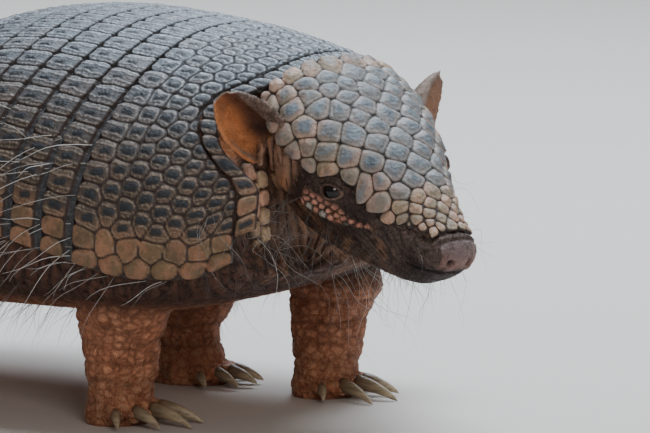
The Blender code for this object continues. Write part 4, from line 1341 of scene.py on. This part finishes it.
for limb, (side, ankle_x, ankle_y, ahead, half_width, toes, claw_length) in FEET.items():
    points, quads, caps, tips = [], [], [], []
    for spread, reach, size, share in toes:
        lateral = side * spread * half_width
        front = ankle_y - ahead
        knuckle = np.array((side * ankle_x + lateral * 0.72, front + 9.0, 6.5))
        toe_end = np.array((side * ankle_x + lateral * 1.12, front - reach, size + 0.6))
        heading = toe_end - knuckle
        heading[2] = 0
        heading /= np.linalg.norm(heading)
        root = toe_end - heading * 2.4 + np.array((0, 0, 0.9))
        first = CLAW_ROWS * CLAW_SIDES * len(points)
        grid = first + np.arange(CLAW_ROWS * CLAW_SIDES).reshape(CLAW_ROWS, CLAW_SIDES)
        quads.append(strip(grid, np.roll(grid, -1, axis=1)).reshape(-1, 4))
        caps += [list(grid[0]), list(grid[-1][::-1])]
        points.append(claw_shape(root, heading, claw_length * share + 2.6, size * 0.70))
        tips.append(np.repeat(np.linspace(0, 1, CLAW_ROWS), CLAW_SIDES))
    points = np.concatenate(points)
    points[:, 2] = np.maximum(points[:, 2], 0.15)
    mesh = mesh_from_arrays("claws_" + limb, points, np.concatenate(quads), caps,
                            {"tip": np.concatenate(tips)})
    shape = bmesh.new()
    shape.from_mesh(mesh)
    bmesh.ops.recalc_face_normals(shape, faces=shape.faces)
    shape.to_mesh(mesh)
    shape.free()
    mesh.materials.append(claw_horn)
    settle(in_scene("claws_" + limb, mesh), "horn", *[f"claw_{limb}_{k}" for k in range(1, 6)])

# ---- tail ------------------------------------------------------------------------------------
# Three armoured rings at the root, then a tapering tail clad in rows of small horny scales.
TAIL_PATH = ((0, 84, 68), (0, 118, 55), (2, 165, 38), (6, 215, 22), (11, 266, 11),
             (14, 296.45, 9))
TAIL_RADIUS = ((0, 21), (0.12, 19.5), (0.35, 15), (0.65, 10), (0.9, 5.5), (1.0, 3))
TAIL_LENGTH = 262.0          # round its curve
RING_SPANS = ((0.0, 0.085), (0.089, 0.158), (0.162, 0.226))


def tail_grid(shares, turns):
    """Points round the tail at shares of its length, turns in each ring, and their spokes."""
    knots = np.linspace(0, 1, len(TAIL_PATH))
    path = np.array(TAIL_PATH, float)

    def centre(f):
        return np.stack([curve(np.stack([knots, path[:, axis]], -1), f) for axis in range(3)], -1)

    middle = centre(shares)
    axis = centre(np.minimum(1, shares + 0.01)) - centre(np.maximum(0, shares - 0.01))
    axis /= np.linalg.norm(axis, axis=-1, keepdims=True)
    across = np.cross(axis, (0, 0, 1))
    across /= np.linalg.norm(across, axis=-1, keepdims=True)
    up = np.cross(across, axis)
    angle = 2 * math.pi * np.arange(turns) / turns
    radius = curve(TAIL_RADIUS, shares)[:, None, None]
    spokes = across[:, None, :] * np.cos(angle)[None, :, None] \
        + up[:, None, :] * np.sin(angle)[None, :, None]
    return middle[:, None, :] + spokes * radius, spokes


def tail_piece(name, start, end, rows, turns, scale_length, flare, tan, seed, node_name):
    """A stretch of the tail clad in rings of scales, flaring towards its rear end."""
    shares = np.linspace(start, end, rows)
    base, spokes = tail_grid(shares, turns)
    length = (end - start) * TAIL_LENGTH
    rng = np.random.default_rng(seed)
    count = max(1, int(round(length / scale_length)))
    sites = []
    for k in range(count):
        f = start + (end - start) * (k + 0.5) / count
        radius = float(curve(TAIL_RADIUS, np.array([f]))[0])
        around = max(6, int(round(2 * math.pi * radius / (scale_length * 0.85))))
        ring = tail_grid(np.array([f]), 2 * around)[0][0]
        sites.append(ring[k % 2::2] + rng.uniform(-0.3, 0.3, (around, 3)))
    sites = np.concatenate(sites)
    edge, nearest = voronoi(base.reshape(-1, 3), sites)
    edge = edge.reshape(rows, turns)
    chance = rng.uniform(0, 1, len(sites))[nearest].reshape(rows, turns)
    along = (shares - start)[:, None] / (end - start)
    groove = 1 - smoothstep(0.05, 0.7, edge)
    ends = np.minimum(along, 1 - along) * length
    height = 0.4 * smoothstep(0.1, 2.2, edge) - 0.6 * groove + flare * along ** 2 - 0.3
    height = height - flare * 0.9 * (1 - smoothstep(0.0, 0.9, ends))
    points = (base + spokes * height[..., None]).reshape(-1, 3)
    points[:, 2] = np.maximum(points[:, 2], 0.3)
    grid = np.arange(rows * turns).reshape(rows, turns)
    ahead_grid = np.roll(grid, -1, axis=1)
    quads = np.stack([grid[:-1], ahead_grid[:-1], ahead_grid[1:], grid[1:]], -1)
    caps = [list(grid[0][::-1]), list(grid[-1])]
    # Pale rims of the scales, partly painted sheen.
    pale_and_sheen = smoothstep(0.55, 0.9, edge) * (1 - smoothstep(1.0, 1.7, edge)) * 0.6
    # Slate on top, partly a painted sky sheen, and brown underneath.
    low = np.clip(0.55 - 0.6 * spokes[..., 2], 0, 1)
    masks = {"groove": groove, "pale_and_sheen": pale_and_sheen, "dark": 0.3 * (chance < 0.4) * smoothstep(1, 3, edge),
             "tan": np.clip(tan + 0.4 * (chance - 0.5), 0, 1), "low": low}
    mesh = mesh_from_arrays(name, points, quads.reshape(-1, 4), caps, masks)
    mesh.materials.append(shell_horn)
    settle(in_scene(name, mesh), "shell", node_name)


for number, (start, end) in enumerate(RING_SPANS, start=1):
    tail_piece(f"tail_ring_scutes_{number}", start, end, 40, 240, 8.6, 1.6, 0.6, 60 + number,
               f"tail_ring_{number}")
tail_piece("tail_scales", RING_SPANS[-1][1] + 0.002, 1.0, 420, 150, 5.6, 0.0, 0.25, 66, "tail")

# ---- hairs -----------------------------------------------------------------------------------
# Long pale bristles stand out between the bands, along the lower edge and on the neck. Grey
# hairs hang from the neck, cheeks, belly, chin and muzzle, and short dark ones lie on the
# legs. Every hair is a thin tapering rod, bent by its own weight and rooted in the hide.
HAIR_STEPS = 9
HAIR_WIDTH = 108.0           # beyond this half width the hairs lie along the body
HAIR_SPREAD = 9.0            # and reach at most this far past it
HAIR_LOWEST = 0.6
MAP_AXIS = 90.0              # height of the line round which the hairs' map turns
MAP_FRONT = 300.0            # the map runs from this far ahead of the middle of the body
MAP_LENGTH = 620.0           # over this length


def hair_tree():
    """Geometry Nodes: lines to rods as thick as their own measure, three-sided."""
    tree = bpy.data.node_groups.new("hair_rods", "GeometryNodeTree")
    tree.interface.new_socket("Geometry", in_out="INPUT", socket_type="NodeSocketGeometry")
    tree.interface.new_socket("Thickness", in_out="INPUT", socket_type="NodeSocketFloat")
    tree.interface.new_socket("Finish", in_out="INPUT", socket_type="NodeSocketMaterial")
    tree.interface.new_socket("Geometry", in_out="OUTPUT", socket_type="NodeSocketGeometry")
    lines = tree.nodes.new("NodeGroupInput")
    result = tree.nodes.new("NodeGroupOutput")
    to_curve = tree.nodes.new("GeometryNodeMeshToCurve")
    measure = tree.nodes.new("GeometryNodeInputNamedAttribute")
    measure.data_type = "FLOAT"
    measure.inputs["Name"].default_value = "girth"
    scaled = tree.nodes.new("ShaderNodeMath")
    scaled.operation = "MULTIPLY"
    radius = tree.nodes.new("GeometryNodeSetCurveRadius")
    profile = tree.nodes.new("GeometryNodeCurvePrimitiveCircle")
    profile.inputs["Resolution"].default_value = 3
    profile.inputs["Radius"].default_value = 1.0
    rods = tree.nodes.new("GeometryNodeCurveToMesh")
    rods.inputs["Fill Caps"].default_value = True
    realize = tree.nodes.new("GeometryNodeRealizeInstances")
    finish = tree.nodes.new("GeometryNodeSetMaterial")
    link = tree.links.new
    link(lines.outputs["Geometry"], to_curve.inputs[0])
    link(measure.outputs["Attribute"], scaled.inputs[0])
    link(lines.outputs["Thickness"], scaled.inputs[1])
    link(to_curve.outputs[0], radius.inputs["Curve"])
    link(scaled.outputs[0], radius.inputs["Radius"])
    link(radius.outputs[0], rods.inputs["Curve"])
    link(profile.outputs[0], rods.inputs["Profile Curve"])
    if "Scale" in rods.inputs:
        link(scaled.outputs[0], rods.inputs["Scale"])
    link(rods.outputs[0], realize.inputs[0])
    link(realize.outputs[0], finish.inputs["Geometry"])
    link(lines.outputs["Finish"], finish.inputs["Material"])
    link(finish.outputs[0], result.inputs[0])
    return tree


hair_rods = hair_tree()


def hair_material(name, root_colour, tip_colour):
    """Hair from its root's colour to its tip's, darker on some hairs than on others."""
    material, tree, shader = shade_tree(name)
    body = mix(tree, mask(tree, "part"), root_colour, tip_colour)
    body = mix(tree, ramp(tree, mask(tree, "shade"), 0.0, 1.0, 0.0, 0.6), body,
               times(tree, body, (0.35, 0.30, 0.26)))
    tree.links.new(body, shader.inputs["Base Color"])
    shader.inputs["Roughness"].default_value = 0.38
    return material


def hair_piece(name, roots, directions, lengths, thickness, droop, curl, material, seed):
    """Hairs from roots (mm) along directions; droop bends them down, curl winds them."""
    rng = np.random.default_rng(seed)
    count = len(roots)
    directions = directions / np.linalg.norm(directions, axis=1, keepdims=True)
    sideways = np.cross(directions, rng.normal(size=(count, 3)))
    sideways /= np.linalg.norm(sideways, axis=1, keepdims=True)
    other = np.cross(directions, sideways)
    f = np.linspace(0, 1, HAIR_STEPS)
    phase = rng.uniform(0, 6.283, count)[:, None]
    winds = rng.uniform(0.5, 1.2, count)[:, None] * 2 * math.pi
    swing = curl * lengths[:, None] * f ** 1.2
    points = roots[:, None, :] + directions[:, None, :] * (lengths[:, None] * f)[..., None]
    points = points + sideways[:, None, :] * (swing * np.sin(winds * f + phase)
                                              - swing * np.sin(phase))[..., None]
    points = points + other[:, None, :] * (swing * np.cos(winds * f + phase)
                                           - swing * np.cos(phase))[..., None]
    points[..., 2] -= droop * lengths[:, None] * f ** 2
    points[..., 2] = np.maximum(points[..., 2], HAIR_LOWEST)
    beyond = np.maximum(0, np.abs(points[..., 0]) - HAIR_WIDTH)
    points[..., 0] -= np.sign(points[..., 0]) * (beyond - HAIR_SPREAD * np.tanh(beyond / 22.0))
    index = np.arange(count * HAIR_STEPS).reshape(count, HAIR_STEPS)
    edges = np.stack([index[:, :-1], index[:, 1:]], -1).reshape(-1, 2)
    mesh = bpy.data.meshes.new(name)
    mesh.from_pydata((points.reshape(-1, 3) * MM).tolist(), edges.tolist(), [])
    girth = np.repeat((1.0 - 0.8 * f ** 1.5)[None, :], count, 0)
    girth = girth * rng.uniform(0.7, 1.15, count)[:, None]
    turn = np.arctan2(roots[:, 0], roots[:, 2] - MAP_AXIS) / (2 * math.pi) + 0.5
    place = (roots[:, 1] + MAP_FRONT) / MAP_LENGTH
    write_masks(mesh, {"girth": girth, "part": np.repeat(f[None, :], count, 0),
                       "shade": np.repeat(rng.uniform(0, 1, count), HAIR_STEPS),
                       "root_u": np.repeat(turn, HAIR_STEPS),
                       "root_v": np.repeat(place, HAIR_STEPS)})
    lines = in_scene(name, mesh)
    rods = lines.modifiers.new("rods", "NODES")
    rods.node_group = hair_rods
    sockets = {item.name: item.identifier for item in hair_rods.interface.items_tree
               if item.in_out == "INPUT"}
    rods[sockets["Thickness"]] = thickness * MM
    rods[sockets["Finish"]] = material
    mesh = baked_mesh(lines)
    # Each hair has a small patch of its own on the map, where its root stands on the body.
    values = {}
    for key in ("part", "root_u", "root_v"):
        values[key] = np.empty(len(mesh.vertices), np.float32)
        mesh.attributes[key].data.foreach_get("value", values[key])
    corners = np.empty(len(mesh.loops), np.int32)
    mesh.loops.foreach_get("vertex_index", corners)
    lean = mesh_normals(mesh)[:, 0]
    places = np.stack([values["root_u"] + 0.0015 * lean,
                       values["root_v"] + 0.003 * (values["part"] - 0.5)], -1)
    layer = mesh.uv_layers.new(name="OFBake")
    layer.data.foreach_set("uv", np.clip(places, 0, 1)[corners].astype(np.float32).ravel())
    mesh.name = name
    mesh.shade_smooth()
    settle(in_scene(name, mesh), "hair")


pale_hair = hair_material("pale_hair", (0.46, 0.43, 0.39), (0.72, 0.72, 0.70))
dark_hair = hair_material("dark_hair", (0.05, 0.035, 0.028), (0.16, 0.12, 0.10))
grey_hair = hair_material("grey_hair", (0.09, 0.075, 0.068), (0.36, 0.33, 0.31))
skin_mesh = bpy.data.objects["skin"].data
skin_points = mesh_points(skin_mesh)
skin_normals = mesh_normals(skin_mesh)
skin_x, skin_y, skin_z = skin_points.T
skin_s, skin_t, skin_n = head_places(skin_points)
skin_ear = ear_shares(skin_points)[0]


def skin_roots(chosen, spacing, seed):
    """Points of the skin picked at random where chosen, about spacing apart."""
    rng = np.random.default_rng(seed)
    found = np.flatnonzero(chosen)
    rng.shuffle(found)
    taken = {}
    for k in found:
        key = tuple(np.floor(skin_points[k] / spacing).astype(int))
        taken.setdefault(key, k)
    picked = np.array(sorted(taken.values()), int)
    return skin_points[picked], skin_normals[picked], rng


def flank_bristles():
    """Roots in the folds between the bands and above the lower edge, on both flanks."""
    rng = np.random.default_rng(101)
    roots, directions, lengths = [], [], []
    fronts = [BANDS_FRONT + BAND_PITCH * k for k in range(BAND_COUNT + 1)]
    for front in fronts:
        for side in (-1, 1):
            for v in rng.uniform(0.5, 1.0, 10) ** 0.8:
                u = front + rng.uniform(0.3, 1.6)
                place = shell_surface(np.array([u]), np.array([side * v]))[0]
                outward = np.array((side * (0.35 + 0.6 * v), 0, 1.0 - 0.9 * v))
                heading = outward * rng.uniform(0.25, 0.75) + np.array(
                    (0, rng.uniform(0.5, 1.3), -0.35 * v)) + rng.normal(size=3) * 0.22
                roots.append(place - outward * 2.0)
                directions.append(heading)
                lengths.append(rng.uniform(18, 58) * (0.4 + 0.6 * v))
    return np.array(roots), np.array(directions), np.array(lengths)


def fringe_bristles():
    """Roots under the lower edge of the armour, pointing out, down and back."""
    rng = np.random.default_rng(102)
    roots, directions, lengths = [], [], []
    for side in (-1, 1):
        for u in rng.uniform(-185, 70, 52):
            place = shell_surface(np.array([u]), np.array([side * 1.0]))[0]
            roots.append(place + np.array((-side * 3.5, 0, -0.5)))
            directions.append((side * rng.uniform(0.2, 1.0), rng.uniform(0.1, 1.2),
                               rng.uniform(-1.0, 0.15)))
            lengths.append(rng.uniform(12, 40))
    return np.array(roots), np.array(directions), np.array(lengths)


hair_piece("flank_bristles", *flank_bristles(), 0.19, 0.22, 0.05, pale_hair, 103)
hair_piece("fringe_bristles", *fringe_bristles(), 0.16, 0.25, 0.07, pale_hair, 104)

low_trunk = (skin_z < 66) & (skin_z > 40) & (skin_normals[:, 2] < -0.2) \
    & (skin_y > -205) & (skin_y < 85) & (skin_t < 0)
on_legs = (skin_z < 56) & (skin_z > 9) & (np.abs(skin_normals[:, 2]) < 0.7) \
    & (np.abs(skin_x) > 34) & (skin_t < 0)
on_neck = (skin_y < -188) & (skin_t < 46) & (skin_z > 60) & (skin_z < 100) \
    & (np.abs(skin_x + 12) > 20) & (skin_ear < 0.1)
on_cheek = (skin_t > 40) & (skin_t < 66) & (skin_n < -34) & (skin_n > -50) & (skin_ear < 0.1)
on_chin = (skin_t > 62) & (skin_t < 112) & (skin_n < -21 - 0.30 * (112 - skin_t)) \
    & (skin_normals[:, 2] < 0.2)
on_muzzle = (skin_t > 84) & (skin_t < 107) & (skin_n < -9) & (skin_n > -17) \
    & (np.abs(skin_s) > 9)
ahead_on_muzzle = HEAD_FRAME @ np.array((0, -0.9, 0.25))
# name, where they grow, spacing, seed, share outward, lean, scatter, shortest and longest,
# thickness, droop, curl, material
for name, where, spacing, seed, push, lean, scatter, lengths, thickness, droop, curl, finish in (
        ("belly_hairs", low_trunk, 8.5, 105, 0.55, (0, 0.75, -0.2), 0.25, (9, 20),
         0.11, 0.3, 0.08, grey_hair),
        ("leg_hairs", on_legs, 6.0, 107, 0.55, (0, 0.35, -0.75), 0.25, (4, 9),
         0.085, 0.15, 0.08, dark_hair),
        ("neck_hairs", on_neck, 7.6, 109, 0.7, (0, -0.15, -0.5), 0.4, (9, 30),
         0.12, 0.3, 0.2, grey_hair),
        ("neck_bristles", on_neck & (skin_z < 90), 11.0, 117, 0.8, (0, -0.1, -0.4), 0.5,
         (16, 38), 0.15, 0.3, 0.25, pale_hair),
        ("cheek_hairs", on_cheek, 7.0, 111, 0.7, (0, 0.25, -0.6), 0.3, (12, 28),
         0.13, 0.3, 0.22, grey_hair),
        ("chin_hairs", on_chin, 6.2, 113, 0.8, (0, 0.1, -0.4), 0.2, (4, 9),
         0.08, 0.1, 0.05, grey_hair),
        ("whiskers", on_muzzle, 10.0, 115, 0.9, ahead_on_muzzle, 0.2, (8, 18),
         0.05, 0.15, 0.05, grey_hair)):
    roots, outward, rng = skin_roots(where, spacing, seed)
    flow = outward * push + np.array(lean) + rng.normal(size=outward.shape) * scatter
    hair_piece(name, roots, flow, rng.uniform(*lengths, len(roots)), thickness, droop, curl,
               finish, seed + 1)
